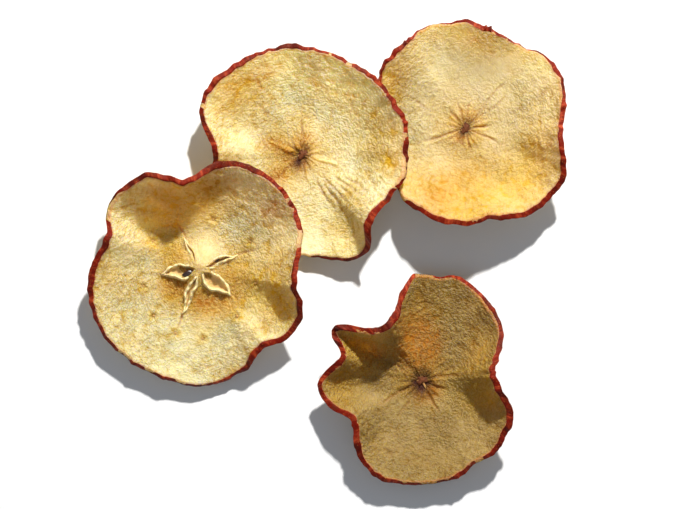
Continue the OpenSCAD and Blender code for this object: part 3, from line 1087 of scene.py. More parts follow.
@dataclass
class Flesh:
    """The dried flesh of one slice, with its sizes in millimetres."""

    design: Design
    sheet: PackedSheet
    material: bpy.types.Material
    crepe: CrepeTree
    pit_depth: float = 0.95
    lip_rise: float = 0.5
    least_thickness: float = 0.3
    least_height: float = 0.02
    underside_colour: float = 0.6
    underside_wrinkle: float = 0.45

    @staticmethod
    def _fold_profile(fold: Fold, x: np.ndarray, y: np.ndarray) -> tuple[np.ndarray, np.ndarray]:
        """Measures a fold.

        Args:
            fold: the fold.
            x: distances from the core along X.
            y: distances from the core along Y.

        Returns:
            How strongly each point lies on the fold and on its shoulder, from 0 to 1.
        """
        a = math.radians(fold.bearing)
        along = x * math.cos(a) + y * math.sin(a)
        wander = 0.5 * np.sin(along * 0.55 + fold.bearing) * ramp(along, fold.inner, fold.outer)
        across = y * math.cos(a) - x * math.sin(a) - wander
        span = fold.outer - fold.inner
        ends = ramp(along, fold.inner - 0.6, fold.inner + 0.2 * span) * ramp(
            -along, -fold.outer, -fold.outer + 0.55 * span)
        side = 1.7 * fold.width * (1 if int(fold.bearing) % 2 else -1)
        return bell(across, fold.width) * ends, bell(across - side, 1.2 * fold.width) * ends

    @staticmethod
    def _patches(patches: Sequence[Patch], x: np.ndarray, y: np.ndarray) -> np.ndarray:
        """Adds up soft patches.

        Args:
            patches: the patches.
            x: distances from the core along X.
            y: distances from the core along Y.

        Returns:
            The sum, which may pass 1.
        """
        total = np.zeros_like(x)
        for patch in patches:
            a = math.radians(patch.bearing)
            away = np.hypot(x - patch.reach * math.cos(a), y - patch.reach * math.sin(a))
            total += patch.strength * bell(away, patch.radius)
        return total

    def _relief(self, x: np.ndarray, y: np.ndarray) -> tuple[np.ndarray, dict[str, np.ndarray]]:
        """Returns the upper face's own relief and its colour masks.

        Args:
            x: distances from the core along X.
            y: distances from the core along Y.

        Returns:
            The relief in millimetres, and a mask for each kind of colour.
        """
        design = self.design
        reach = np.hypot(x, y)
        angle = np.arctan2(y, x)
        relief = np.zeros_like(x)
        # Painted shade along folds, round chamber edges and in thread pits.
        crease_shade = np.zeros_like(x)
        for fold in design.folds:
            on, beside = self._fold_profile(fold, x, y)
            relief += fold.height * on - 0.6 * min(fold.height, 0) * beside
            crease_shade = np.maximum(crease_shade, 0.8 * fold.crease_shade_strength * on)
        relief += self._patches(design.swells, x, y)
        core_dark_and_shadow, starry = np.zeros_like(x), np.zeros_like(x)
        if design.core is Core.CLOSED_KNOT:
            star = 0.5 + 0.5 * np.cos(5 * (angle - math.radians(design.core_turn)))
            # Painted shadow beside the knot, laid over the core's dark brown.
            core_dark_and_shadow = self._patches((design.core_dark_and_shadow,), x, y) * (0.75 + 0.25 * star)
            relief += -0.75 * bell(reach, 2.2) + 0.35 * bell(reach - 4.2, 1.6)
            puckers = np.cos(7 * angle + design.seed) + 0.8 * np.cos(17 * angle + 2 * design.seed)
            relief += 0.16 * puckers * bell(reach - 4.2, 3.0)
            scorch_core = 0.75 * bell(reach, 3.4)
            starry = 0.9 * bell(reach, 7.0) * (0.7 + 0.3 * star)
        else:
            scorch_core = np.zeros_like(x)
            for chamber in CHAMBERS:
                away = chamber.outside(x, y)
                relief += np.where(away > 0, self.lip_rise * bell(away, 0.7), self.lip_rise)
                relief -= (self.pit_depth + self.lip_rise) * ramp(-away, 0.02, 0.4)
                # Brown inside the chambers: their own browning together with painted shade down in the
                # pits.
                scorch_core = np.maximum(scorch_core, 0.5 * ramp(-away, 0.0, 0.3))
                crease_shade = np.maximum(crease_shade, 0.25 * bell(away, 0.5))
            for bearing, far in VEINS:
                a = math.radians(bearing)
                dx, dy = x - far * math.cos(a), y - far * math.sin(a)
                away, turn = np.hypot(dx, dy), np.arctan2(dy, dx)
                rays = 0.5 + 0.5 * np.cos(6 * turn + bearing)
                relief += 0.45 * bell(away - 1.5, 0.9) * (1 - 0.6 * rays) - 0.55 * bell(away, 0.9)
                crease_shade = np.maximum(crease_shade, 0.35 * bell(away, 0.7))
                starry = np.maximum(starry, (0.25 + 0.75 * rays) * bell(away, 2.2))
        calm = np.clip(self._patches(design.calm, x, y), 0, 1)
        # Amber-yellow tone: mostly painted glow in shaded hollows, plus the real yellow stars round
        # the threads and the knot.
        golden_tone_and_glow = np.clip(self._patches(design.golden_tone_and_glow, x, y) + starry, 0, 1)
        # Brown: real browning at the core and in some patches, painted shade in others.
        scorch = np.clip(self._patches(design.browned_and_shaded, x, y) + scorch_core, 0, 1)
        return relief, {"golden_tone_and_glow": golden_tone_and_glow, "scorch": scorch, "crease_shade": np.clip(crease_shade, 0, 1),
                        "core_dark_and_shadow": core_dark_and_shadow, "calm": calm}

    def _numbers(self, both: np.ndarray, masks: Mapping[str, np.ndarray],
                 lower_masks: Mapping[str, np.ndarray], hold: np.ndarray) -> dict[str, np.ndarray]:
        """Returns what the material and the wrinkles read from the piece.

        Args:
            both: the points of the upper face, then of the lower face, from the core.
            masks: the upper face's colour masks.
            lower_masks: the lower face's colour masks.
            hold: 1 on the sheet and 0 at its rim, one row for each ring.

        Returns:
            The numbers and vectors for each point, by name.
        """
        sheet = self.sheet
        grid = (sheet.rings, sheet.bearings)
        numbers = {key: np.concatenate([masks[key].ravel(),
                                        self.underside_colour * lower_masks[key].ravel()])
                   for key in masks}
        share = np.broadcast_to(sheet.share[:, None], grid).ravel()
        numbers["share"] = np.concatenate([share, share])
        numbers["rim"] = ramp(numbers["share"], 0.965, 1.0)
        free = np.broadcast_to(hold, grid).ravel()
        pits = 1 - np.clip(masks["scorch"].ravel() * (self.design.core is Core.OPEN_CHAMBERS), 0, 1)
        ease = 1 - 0.8 * masks["calm"].ravel()
        numbers["free"] = np.concatenate([free * pits * ease, free * self.underside_wrinkle])
        flat = np.hypot(both[:, 0], both[:, 1])
        turn = np.arctan2(both[:, 1], both[:, 0])
        spread = 1.5 + 0.72 * flat
        numbers["ring_place"] = np.stack([spread * np.cos(turn), spread * np.sin(turn),
                                          0.80 * flat + self.design.seed], axis=-1)
        numbers["tan"] = np.full(len(both), self.design.tan)
        return numbers

    def _faces(self) -> list[list[int]]:
        """Joins the points of both sides.

        Returns:
            The faces of both sides, of the edge between them and of the small middles.
        """
        rows, columns = self.sheet.rings, self.sheet.bearings
        below, last = rows * columns, (rows - 1) * columns
        faces = grid_faces(rows, columns) + grid_faces(rows, columns, below, turned=True)
        for j in range(columns):
            k = (j + 1) % columns
            faces.append([last + j, below + last + j, below + last + k, last + k])
        faces.append(list(range(columns)))
        faces.append([below + j for j in range(columns - 1, -1, -1)])
        return faces

    def build(self) -> bpy.types.Object:
        """Makes the flesh.

        Returns:
            The object, a closed sheet with its wrinkles.
        """
        sheet = self.sheet
        upper = sheet.points(sheet.upper_reach, sheet.upper)
        lower = sheet.points(sheet.lower_reach, sheet.lower)
        relief, masks = self._relief(upper[..., 0], upper[..., 1])
        hold = ramp(-sheet.share, -1.0, -0.93)[:, None]
        upper[..., 2] += relief * hold
        lower_relief, lower_masks = self._relief(lower[..., 0], lower[..., 1])
        lower[..., 2] = np.maximum(lower[..., 2] + np.clip(0.4 * lower_relief, -0.3, 0.4) * hold,
                                   self.least_height)
        upper[..., 2] = np.maximum(upper[..., 2], lower[..., 2] + self.least_thickness)
        both = np.concatenate([upper.reshape(-1, 3), lower.reshape(-1, 3)])
        numbers = self._numbers(both, masks, lower_masks, hold)
        both[:, :2] += sheet.core
        piece = make_piece(f"{self.design.body}_dried_flesh", both, self._faces(), self.material,
                           numbers)
        return self.crepe.run(piece, {"Material": self.material, "Seed": self.design.seed,
                                      "Core": (sheet.core[0], sheet.core[1], 0.0)})


# ---------------------------------------------------------------- the peel


class CrimpTree(GrowthTree):
    """Crimps a band of dried peel across its width."""

    def __init__(self) -> None:
        """Builds the tree."""
        super().__init__("crimped_peel", {
            "Material": None, "Seed": 0.0, "Crimp depth": 1.1, "Crimp spacing": 0.20,
            "Ripple depth": 0.14, "Ripple spacing": 0.7})
        place = self.scaled(self.node("GeometryNodeInputPosition"), 1 / MM)
        rim = self.vector("ADD", self.field("rim_place", "FLOAT_VECTOR"),
                          self.combined(0.0, 0.0, self.given("Seed")))
        crimp = self.noise(self.scaled(rim, self.given("Crimp spacing")), 1.0, 3, 0.6)
        ripple = self.noise(self.scaled(rim, self.given("Ripple spacing")), 1.0, 2, 0.6,
                            distortion=0.3)
        push = ((crimp - 0.52) * self.given("Crimp depth")
                + (ripple - 0.5) * self.given("Ripple depth")) * self.field("swell")
        outward = self.field("outward", "FLOAT_VECTOR")
        moved = self.vector("ADD", place, self.scaled(outward, push))
        shaped = self.node("GeometryNodeSetPosition",
                           inputs={"Geometry": self.given("Geometry"),
                                   "Position": self.scaled(moved, MM)})
        self.end(self.kept(shaped, "crimp", crimp))


@dataclass
class Peel:
    """The band of dried peel round one slice, with its sizes in millimetres."""

    design: Design
    sheet: PackedSheet
    material: bpy.types.Material
    crimps: CrimpTree
    flare: float = 0.2
    usual_girth: float = 0.38
    girth_swing: float = 0.60
    least_girth: float = 0.06
    most_girth: float = 1.3
    most_drop: float = 0.9

    # Each point of the section: share of half the thickness, extra height, how far out, swell.
    section: tuple[tuple[float, float, float, float], ...] = (
        (0.70, 0.0, -0.14, 0.0), (0.95, 0.04, -0.14, 0.0), (1.0, 0.12, -0.02, 0.1),
        (0.95, 0.06, 0.13, 0.5), (0.60, 0.0, 0.25, 0.9), (0.15, 0.0, 0.34, 1.0),
        (-0.35, 0.0, 0.40, 1.0), (-0.85, -0.05, 0.45, 1.0), (-1.0, -0.32, 0.48, 1.0),
        (-1.0, -0.58, 0.46, 1.0), (-1.0, -0.74, 0.36, 0.9), (-1.0, -0.60, 0.22, 0.7),
        (-1.0, -0.22, 0.04, 0.2), (-0.9, 0.0, -0.20, 0.0))

    def _loop(self, reach: np.ndarray, heights: np.ndarray) -> np.ndarray:
        """Returns an edge of the flesh as a closed loop of points.

        Args:
            reach: how far the edge lies from the core at each bearing.
            heights: how high it lies.

        Returns:
            The points, with one more between each two.
        """
        angle = self.sheet.angle
        reach = reach + self.sheet.jag
        loop = np.stack([reach * np.cos(angle), reach * np.sin(angle), heights], axis=-1)
        between = (loop + np.roll(loop, -1, axis=0)) / 2
        return np.stack([loop, between], axis=1).reshape(-1, 3)

    def _edge(self) -> tuple[np.ndarray, np.ndarray, np.ndarray, np.ndarray]:
        """Finds the flesh's edge, which the peel wraps.

        Returns:
            Its middle line, the way up across it, half its thickness, and the way out from it.
        """
        top = self._loop(self.sheet.upper_reach, self.sheet.upper[-1])
        low = self._loop(self.sheet.lower_reach, self.sheet.lower[-1])
        middle = (top + low) / 2
        across = top - low
        half = np.linalg.norm(across, axis=1, keepdims=True) / 2
        across = across / (2 * half)
        along = np.roll(middle, -1, axis=0) - np.roll(middle, 1, axis=0)
        along /= np.linalg.norm(along, axis=1, keepdims=True)
        outward = np.cross(along, across)
        outward /= np.linalg.norm(outward, axis=1, keepdims=True)
        return middle, across, half[:, 0], outward

    def _worn(self, bearing: np.ndarray) -> tuple[np.ndarray, np.ndarray, np.ndarray]:
        """Adds up the tears.

        Args:
            bearing: each place's bearing from the core, in degrees.

        Returns:
            How far the peel laps over the flesh, stands out and drops at each place.
        """
        lap, spike, drop = (np.zeros(len(bearing)) for _ in range(3))
        for tear in self.design.tears + self.design.bare:
            off = (bearing - tear.bearing + 180) % 360 - 180
            lap += tear.inward * bell(off, tear.spread)
            spike += tear.outward * bell(off, tear.spread)
            drop += tear.drop * np.exp(-(off / tear.spread) ** 4)
        return lap, spike, np.clip(drop, 0, self.most_drop)

    def build(self) -> bpy.types.Object:
        """Makes the peel.

        Returns:
            The object, a closed and crimped band.
        """
        middle, across, half, outward = self._edge()
        lap, spike, drop = self._worn(np.degrees(np.arctan2(middle[:, 1], middle[:, 0])))
        girth = np.clip(self.usual_girth + self.girth_swing * np.repeat(self.sheet.girth, 2),
                        self.least_girth, self.most_girth) * (1 - 0.5 * drop)
        rows, swells, bands = [], [], []
        for number, (share, extra, out, swell) in enumerate(self.section):
            lean = self.flare * (1 - share) / 2 if out > 0 else 0.0
            reach = (out + lean) * girth + spike * swell if out > 0 else out + spike * swell
            if number <= 1:
                reach = reach - lap
            height = (share - drop * (share + 1) * 0.75) * half + extra * girth
            rows.append(middle + across * height[:, None] + outward * reach[:, None])
            swells.append(np.full(len(middle), swell))
            bands.append(np.full(len(middle), number / (len(self.section) - 1)))
        points = np.concatenate(rows)
        points[:, :2] += self.sheet.core
        count = len(self.section)
        numbers = {"swell": np.concatenate(swells), "band": np.concatenate(bands),
                   "outward": np.tile(outward, (count, 1)), "rim_place": np.tile(middle, (count, 1))}
        piece = make_piece(f"{self.design.body}_dried_peel", points,
                           grid_faces(count, len(middle), closed=True), self.material, numbers)
        return self.crimps.run(piece, {"Material": self.material, "Seed": self.design.seed})


# ---------------------------------------------------------------- the core with open chambers


@dataclass
class ChamberLining:
    """The parchment lining of one seed chamber: a pocket with a raised, wavy lip."""

    chamber: Chamber
    sheet: PackedSheet
    material: bpy.types.Material
    steps: int = 36
    thickness: float = 0.24

    # Each ring: how far in from the outline, height above the flesh, how wavy, and how much painted
    # shade darkens it.
    rings = ((-0.80, -0.12, 0.0, 0.15), (-0.52, 0.55, 0.6, 0.0), (-0.36, 1.05, 1.0, 0.0),
             (-0.20, 1.22, 1.0, 0.0), (-0.02, 1.10, 0.8, 0.0), (0.10, 0.55, 0.3, 0.1),
             (0.20, -0.10, 0.0, 0.35), (0.42, -0.48, 0.0, 0.5), (0.85, -0.62, 0.0, 0.55),
             (1.40, -0.66, 0.0, 0.6))

    def _outline(self, inset: float) -> np.ndarray:
        """Moves the outline in by a distance.

        Args:
            inset: how far in, in millimetres; negative is outwards.

        Returns:
            The points, along the chamber and across it.
        """
        c = self.chamber
        s = np.linspace(0, 1, self.steps + 1)
        inner, outer = max(c.inner + 1.6 * inset, 0.45), c.outer - 1.6 * inset
        half = np.maximum(c.half_width - inset, 0.03) * np.sin(math.pi * s ** c.skew)
        x = inner + (outer - inner) * s
        right = np.stack([x, -half], axis=-1)
        left = np.stack([x, half], axis=-1)[-2:0:-1]
        return np.concatenate([right, left])

    def build(self, name: str) -> bpy.types.Object:
        """Makes the lining.

        Args:
            name: the object's name.

        Returns:
            The object, as a thin closed shell.
        """
        a = math.radians(self.chamber.bearing)
        points, depth_shade = [], []
        for inset, rise, wavy, colour in self.rings:
            inset = min(inset, self.chamber.half_width * 0.96)
            for number, (along, across) in enumerate(self._outline(inset)):
                side = across + self.chamber.bend(along)
                side += 0.11 * math.sin(1.7 * along + 2 * self.chamber.bearing + across)
                x = along * math.cos(a) - side * math.sin(a)
                y = along * math.sin(a) + side * math.cos(a)
                wave = wavy * (0.38 * math.sin(0.9 * along + 1.3 * across) + 0.24 * math.sin(
                    2.9 * along + self.chamber.bearing + 2 * number / self.steps))
                near = min(1.0, (math.hypot(x, y) / 3.2) ** 1.2)
                lift = (rise + wave) * (0.22 + 0.78 * near) if rise > 0 else rise
                points.append((x, y, self.sheet.height(x, y) + lift))
                # Painted shade: darker down in the chamber and towards the core.
                depth_shade.append(colour + 0.25 * (1 - near))
        columns = 2 * self.steps
        placed = np.array(points)
        placed[:, :2] += self.sheet.core
        placed[:, 2] = np.maximum(placed[:, 2], 0.35)
        faces = grid_faces(len(self.rings), columns, turned=True)
        last = (len(self.rings) - 1) * columns
        for j in range(1, self.steps):
            faces.append([last + j - 1, last + j, last + (columns - j) % columns,
                          last + (columns - j + 1) % columns])
        piece = make_piece(name, placed, faces, self.material, {"depth_shade": np.array(depth_shade)})
        wall = piece.modifiers.new("wall", "SOLIDIFY")
        wall.thickness = self.thickness * MM
        wall.offset = 0.0
        return keep_result(piece)


@dataclass
class Seed:
    """A flattened teardrop seed lying in a chamber."""

    length: float
    width: float
    bearing: float
    turn: float
    reach: float
    lift: float
    around: int = 28
    rings: int = 22

    def build(self, name: str, sheet: PackedSheet, material: bpy.types.Material) -> bpy.types.Object:
        """Makes the seed.

        Args:
            name: the object's name.
            sheet: the sheet that it lies in.
            material: what it is dressed in.

        Returns:
            The object.
        """
        a = math.radians(self.bearing)
        way = math.radians(self.turn)
        cx, cy = self.reach * math.cos(a), self.reach * math.sin(a)
        cz = sheet.height(cx, cy) + self.lift
        points = []
        for i in range(1, self.rings):
            s = i / self.rings
            radius = self.width / 2 * math.sin(math.pi * s ** 0.78) ** 0.82
            for j in range(self.around):
                t = FULL_TURN * j / self.around
                ridge = 1 + 0.05 * math.cos(3 * t) + 0.03 * math.sin(5 * t + 4 * s)
                along = self.length * (s - 0.5)
                side = radius * ridge * math.cos(t)
                up = 0.62 * radius * ridge * math.sin(t)
                points.append((cx + along * math.cos(way) - side * math.sin(way),
                               cy + along * math.sin(way) + side * math.cos(way), cz + up))
        for s in (-0.5, 0.5):
            points.append((cx + s * self.length * math.cos(way),
                           cy + s * self.length * math.sin(way), cz))
        placed = np.array(points)
        placed[:, :2] += sheet.core
        return make_piece(name, placed, capped_faces(self.rings - 1, self.around, turned=True),
                          material)


class ScatterTree(GrowthTree):
    """Sets one small shape on every point, turned by the point's own angles and size."""

    def __init__(self) -> None:
        """Builds the tree."""
        super().__init__("set_on_points", {"Material": None, "Lean": 0.0, "Size": 1.0, "Seed": 0})
        part = self.node("GeometryNodeObjectInfo", {"transform_space": "ORIGINAL"}, out="Geometry")
        self.part_socket = part.socket.node.inputs["Object"]
        wobble = self.node("FunctionNodeRandomValue", {"data_type": "FLOAT"},
                           {2: 0.75, 3: 1.25, "Seed": self.given("Seed")}, out=1)
        lean = self.given("Lean") * wobble
        turned = self.combined(0.0, lean, self.field("facing"))
        size = self.field("size") * self.given("Size") * wobble
        set_on = self.node("GeometryNodeInstanceOnPoints",
                           inputs={"Points": self.given("Geometry"), "Instance": part,
                                   "Rotation": turned, "Scale": self.combined(size, size, size)})
        self.end(set_on)

    def scatter(self, name: str, part: bpy.types.Object, points: np.ndarray, facing: np.ndarray,
                size: np.ndarray, values: Mapping[str, Any]) -> bpy.types.Object:
        """Sets a part on points and removes the loose part.

        Args:
            name: the new object's name.
            part: the small shape, made round the origin and pointing along +X.
            points: where each one goes, in millimetres.
            facing: each one's bearing, in radians.
            size: each one's size, as a factor.
            values: the tree's inputs.

        Returns:
            The object that holds them all.
        """
        self.part_socket.default_value = part
        holder = make_piece(name, points, [], values["Material"], {"facing": facing, "size": size})
        self.run(holder, values)
        self.part_socket.default_value = None
        bpy.data.objects.remove(part)
        holder.data.shade_smooth()
        return holder


def curled_flake(name: str, length: float, width: float, curl: float, thick: float,
                 material: bpy.types.Material) -> bpy.types.Object:
    """Makes one pointed, cupped flake of husk along +X, in millimetres.

    Args:
        name: the object's name.
        length: its length.
        width: its greatest width.
        curl: how far its tip rises.
        thick: its thickness at the root.
        material: what it is dressed in.

    Returns:
        The object, a closed shell.
    """
    steps, across = 9, 5
    points, depth_shade = [], []
    for face in (1, -1):
        for i in range(steps + 1):
            s = i / steps
            half = width / 2 * (1 - s ** 1.6) * (0.55 + 0.9 * s * (1 - s) * 2) + 0.02
            for j in range(across):
                v = 2 * j / (across - 1) - 1
                wall = thick * (1 - 0.75 * s) * (1 - 0.6 * v * v)
                points.append((length * s, half * v,
                               curl * s * s + 0.35 * half * v * v + face * wall / 2))
                # Painted shade: darker towards the root, down in the knot.
                depth_shade.append(0.7 * (1 - s))
    faces = []
    below = (steps + 1) * across
    for i in range(steps):
        for j in range(across - 1):
            quad = [i * across + j, (i + 1) * across + j, (i + 1) * across + j + 1, i * across + j + 1]
            faces.append(quad)
            faces.append([below + c for c in quad[::-1]])
    border = [i * across for i in range(steps + 1)]
    border += [steps * across + j for j in range(1, across)]
    border += [i * across + across - 1 for i in range(steps - 1, -1, -1)]
    border += [j for j in range(across - 2, 0, -1)]
    for a, b in zip(border, border[1:] + border[:1]):
        faces.append([b, a, below + a, below + b])
    return make_piece(name, np.array(points), faces, material, {"depth_shade": np.array(depth_shade)})


def thread_button(name: str, material: bpy.types.Material) -> bpy.types.Object:
    """Makes the frayed end of one woody thread, about 0.7 mm across.

    Args:
        name: the object's name.
        material: what it is dressed in.

    Returns:
        The object, closed and made round the origin.
    """
    around, profile = 12, ((0.0, 0.20), (0.12, 0.24), (0.24, 0.16), (0.34, 0.0), (0.36, -0.5))
    points, depth_shade = [], []
    for radius, rise in profile[1:]:
        for j in range(around):
            t = FULL_TURN * j / around
            frayed = radius * (1 + 0.22 * math.cos(3 * t) + 0.12 * math.sin(5 * t))
            points.append((frayed * math.cos(t), frayed * math.sin(t), rise))
            # Painted shade: darker in the dimpled middle.
            depth_shade.append(0.5 if radius < 0.2 else 0.1)
    points.append((0.0, 0.0, profile[0][1]))
    points.append((0.0, 0.0, profile[-1][1]))
    depth_shade += [0.8, 0.5]
    return make_piece(name, np.array(points), capped_faces(len(profile) - 1, around), material,
                      {"depth_shade": np.array(depth_shade)})


@dataclass
class OpenCore:
    """The left slice's core: five lined chambers, two seeds and the ring of threads."""

    sheet: PackedSheet
    scatter: ScatterTree
    body: str = "left_slice"

    def build(self) -> list[bpy.types.Object]:
        """Makes the core.

        Returns:
            Every piece of the core.
        """
        made = []
        lining = LINING_FINISH.material()
        for number, chamber in enumerate(CHAMBERS, start=1):
            piece = ChamberLining(chamber, self.sheet, lining).build(f"left_slice_parchment_{number}")
            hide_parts(f"left_slice_lining_{number}")
            made.append(piece)
        coat = SeedFinish().material()
        whole = Seed(4.0, 2.3, 203, 196, 3.7, 0.25).build("left_slice_whole_seed", self.sheet, coat)
        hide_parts("left_slice_seed")
        cut = Seed(2.4, 1.2, 27, 24, 6.3, 0.15).build("left_slice_cut_seed", self.sheet, coat)
        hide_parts("left_slice_seed_tip")
        for seed in (whole, cut):
            made.append(seed)
        made.append(self._threads())
        for piece in made:
            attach(piece, self.body)
        return made

    def _threads(self) -> bpy.types.Object:
        """Makes the ring of thread ends.

        Returns:
            The object that holds all thread ends.
        """
        material = THREAD_FINISH.material()
        bearing = np.radians([v[0] for v in VEINS])
        reach = np.array([v[1] for v in VEINS])
        x, y = reach * np.cos(bearing), reach * np.sin(bearing)
        z = np.array([self.sheet.height(*p) - 0.42 for p in zip(x, y)])
        points = np.stack([x + self.sheet.core[0], y + self.sheet.core[1], z], axis=-1)
        size = np.linspace(0.85, 1.1, len(VEINS))
        piece = self.scatter.scatter(
            "left_slice_thread_ends", thread_button("thread_part", material), points, bearing, size,
            {"Material": material, "Lean": 0.1, "Size": 1.0, "Seed": 5})
        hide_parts("left_slice_veins")
        return piece


@dataclass
class KnotCore:
    """The core of a slice cut near an end of the apple: a dark knot with curled flakes."""

    design: Design
    sheet: PackedSheet
    scatter: ScatterTree
    flakes: int = 5
    flake_length: float = 2.9
    flake_width: float = 0.66
    knot_radius: float = 1.65
    knot_rise: float = 1.15
    sunk: float = 0.9
    around: int = 40
    rings: int = 12

    def _knot(self, material: bpy.types.Material) -> bpy.types.Object:
        """Makes the lumpy knot at the middle.

        Args:
            material: what it is dressed in.

        Returns:
            The object, a closed lump.
        """
        points, depth_shade = [], []
        base = self.sheet.height(0, 0) - self.sunk
        seed = self.design.seed
        for i in range(1, self.rings + 1):
            s = i / self.rings
            for j in range(self.around):
                t = FULL_TURN * j / self.around
                lobes = (1 + 0.24 * math.cos(2 * t + seed) + 0.16 * math.cos(3 * t + 1.7 * seed)
                         + 0.12 * math.cos(7 * t + 3 * s))
                r = self.knot_radius * math.sin(0.5 * math.pi * s) * lobes
                lump = (0.26 * math.sin(3 * t + 7 * s + seed) + 0.20 * math.cos(7 * t - 9 * s)
                        + 0.10 * math.cos(13 * t + 5 * s))
                rise = self.knot_rise * math.cos(0.5 * math.pi * s) ** 0.8 + lump * s * (1.2 - s)
                points.append((r * math.cos(t), r * math.sin(t), base + max(rise, 0.0)))
                # Painted shade: darker towards the base, where the knot sinks into its pit.
                depth_shade.append(0.4 + 0.5 * s)
        points.append((0.0, 0.0, base + self.knot_rise))
        points.append((0.0, 0.0, base - 0.2))
        depth_shade += [0.2, 1.0]
        placed = np.array(points)
        placed[:, :2] += self.sheet.core
        return make_piece(f"{self.design.body}_heart_knot", placed,
                          capped_faces(self.rings, self.around), material, {"depth_shade": np.array(depth_shade)})

    def build(self) -> list[bpy.types.Object]:
        """Makes the core.

        Returns:
            The knot and the flakes.
        """
        knot = self._knot(KNOT_FINISH.material())
        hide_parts(f"{self.design.body}_core_knot")
        material = TIP_FINISH.material()
        turn = np.arange(self.flakes) * FULL_TURN / self.flakes + math.radians(self.design.core_turn)
        turn = turn + 0.75 * np.sin(3.1 * turn + self.design.seed)
        points = np.stack([0.5 * np.cos(turn) + self.sheet.core[0],
                           0.5 * np.sin(turn) + self.sheet.core[1],
                           np.full(self.flakes, self.sheet.height(0, 0) - 0.25)], axis=-1)
        size = 0.34 + 0.62 * np.sin(2.3 * turn + self.design.seed) ** 2
        flakes = self.scatter.scatter(
            f"{self.design.body}_heart_flakes",
            curled_flake("flake_part", self.flake_length, self.flake_width, 0.45, 0.30, material),
            points, turn, size,
            {"Material": material, "Lean": -0.16, "Size": 1.0, "Seed": int(self.design.seed)})
        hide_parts(f"{self.design.body}_core_tips")
        for piece in (knot, flakes):
            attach(piece, self.design.body)
        return [knot, flakes]


# ---------------------------------------------------------------- putting it together


@dataclass
class Slice:
    """One dried slice: its flesh, its peel and its core."""

    design: Design

    def __post_init__(self) -> None:
        """Reads the slice's packed sheet."""
        body = self.design.body
        self.sheet = PackedSheet(f"{body}_flesh", core_of(body), seed=int(self.design.seed))

    def build(self, workshop: "Workshop") -> list[bpy.types.Object]:
        """Makes every piece of the slice.

        Args:
            workshop: the shared trees and materials.

        Returns:
            The pieces.
        """
        body = self.design.body
        flesh = Flesh(self.design, self.sheet, workshop.flesh, workshop.crepe).build()
        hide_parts(f"{body}_flesh")
        peel = Peel(self.design, self.sheet, workshop.peel, workshop.crimps).build()
        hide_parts(f"{body}_peel")
        for piece in (flesh, peel):
            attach(piece, body)
        if self.design.core is Core.OPEN_CHAMBERS:
            rest = OpenCore(self.sheet, workshop.scatter).build()
        else:
            rest = KnotCore(self.design, self.sheet, workshop.scatter).build()
        return [flesh, peel, *rest]


class Workshop:
    """The node trees and materials that all slices share."""

    def __init__(self) -> None:
        """Builds each of them once."""
        self.flesh = FleshFinish().material()
        self.peel = PeelFinish().material()
        self.crepe = CrepeTree()
        self.crimps = CrimpTree()
        self.scatter = ScatterTree()


def core_of(body: str) -> tuple[float, float]:
    """Finds where a slice's core stands.

    Args:
        body: the slice's body.

    Returns:
        Its place in millimetres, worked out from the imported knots.
    """
    knot = "middle_slice_core_knot" if body == "left_slice" else f"{body}_core_knot"
    low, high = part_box(knot)
    middle = (low + high) / 2 / MM
    if body == "left_slice":
        return middle.x + CORE_STEP[0], middle.y + CORE_STEP[1]
    return middle.x, middle.y


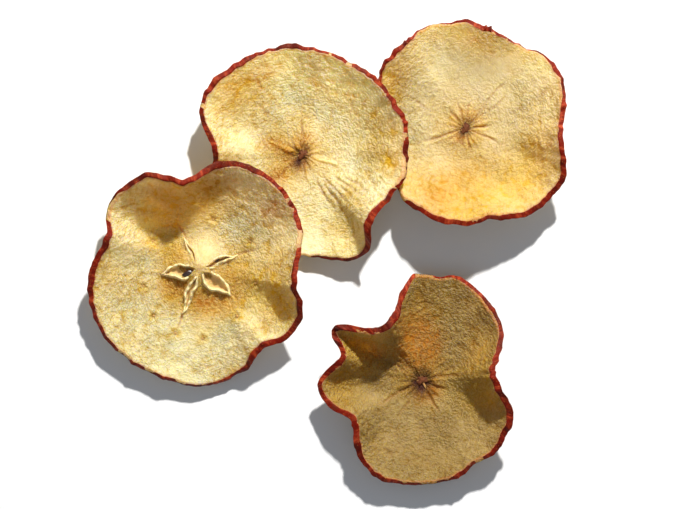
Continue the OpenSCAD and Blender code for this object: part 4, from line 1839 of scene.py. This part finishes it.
@dataclass
class Studio:
    """Pale floor, soft lights and a camera that looks straight down."""

    aim: tuple[float, float] = (3.74, -0.5)
    camera_height: float = 1000.0
    view_width: float = 210.5
    key_bearing: float = 75.0
    key_elevation: float = 43.0
    key_distance: float = 1000.0
    key_size: float = 45.0
    key_power: float = 16.5
    key_tint: tuple[float, float, float] = (1.0, 0.985, 0.95)
    fill_bearing: float = 250.0
    fill_elevation: float = 62.0
    fill_distance: float = 900.0
    fill_size: float = 700.0
    fill_power: float = 0.5
    fill_tint: tuple[float, float, float] = (0.93, 0.96, 1.0)
    sky: float = 0.24
    sky_tint: Colour = rgb(0.84, 0.90, 1.0)
    floor_side: float = 1800.0

    def build(self) -> None:
        """Makes the floor, the camera and the lights."""
        self._floor()
        self._camera()
        self._light("key_light", self.key_bearing, self.key_elevation, self.key_distance,
                    self.key_size, self.key_power, self.key_tint)
        self._light("fill_light", self.fill_bearing, self.fill_elevation, self.fill_distance,
                    self.fill_size, self.fill_power, self.fill_tint)
        world = bpy.data.worlds.new("studio")
        bpy.context.scene.world = world
        world.use_nodes = True
        sky = world.node_tree.nodes["Background"]
        sky.inputs["Color"].default_value = self.sky_tint
        sky.inputs["Strength"].default_value = self.sky
        bpy.context.scene.view_settings.view_transform = "Standard"

    def _floor(self) -> None:
        """Makes the floor under the lowest point of the group."""
        far = self.floor_side / 2
        corners = np.array([(-far, -far, 0.0), (far, -far, 0.0), (far, far, 0.0), (-far, far, 0.0)])
        floor = make_piece("pale_floor", corners, [(0, 1, 2, 3)], FloorFinish().material())

    def _camera(self) -> None:
        """Makes the camera."""
        data = bpy.data.cameras.new("camera")
        camera = bpy.data.objects.new("camera", data)
        bpy.context.scene.collection.objects.link(camera)
        camera.location = (self.aim[0] * MM, self.aim[1] * MM, self.camera_height * MM)
        data.sensor_width = 36.0
        data.lens = data.sensor_width * self.camera_height / self.view_width
        data.clip_start, data.clip_end = 0.05, 10.0
        bpy.context.scene.camera = camera

    def _light(self, name: str, bearing: float, elevation: float, distance: float, size: float,
               power: float, colour: tuple[float, float, float]) -> None:
        """Makes one square soft light that faces the group.

        Args:
            name: the light's name.
            bearing: where it stands, in degrees round the group.
            elevation: how high it stands, in degrees.
            distance: how far away it is, in millimetres.
            size: its side, in millimetres.
            power: its power in watts.
            colour: its tint.
        """
        data = bpy.data.lights.new(name, "AREA")
        data.size = size * MM
        data.energy = power
        data.color = colour
        light = bpy.data.objects.new(name, data)
        bpy.context.scene.collection.objects.link(light)
        a, e = math.radians(bearing), math.radians(elevation)
        way = Vector((math.cos(a) * math.cos(e), math.sin(a) * math.cos(e), math.sin(e)))
        light.location = way * distance * MM
        light.rotation_euler = way.to_track_quat("Z", "Y").to_euler()


def main() -> None:
    """Builds the slices in order and reports each piece."""
    logging.basicConfig(level=logging.INFO, format="%(name)s: %(message)s")
    Studio().build()
    workshop = Workshop()
    for design in DESIGNS:
        for piece in Slice(design).build(workshop):
            log.info("%s: %d faces", piece.name, len(piece.data.polygons))


if __name__ == "__main__":
    main()
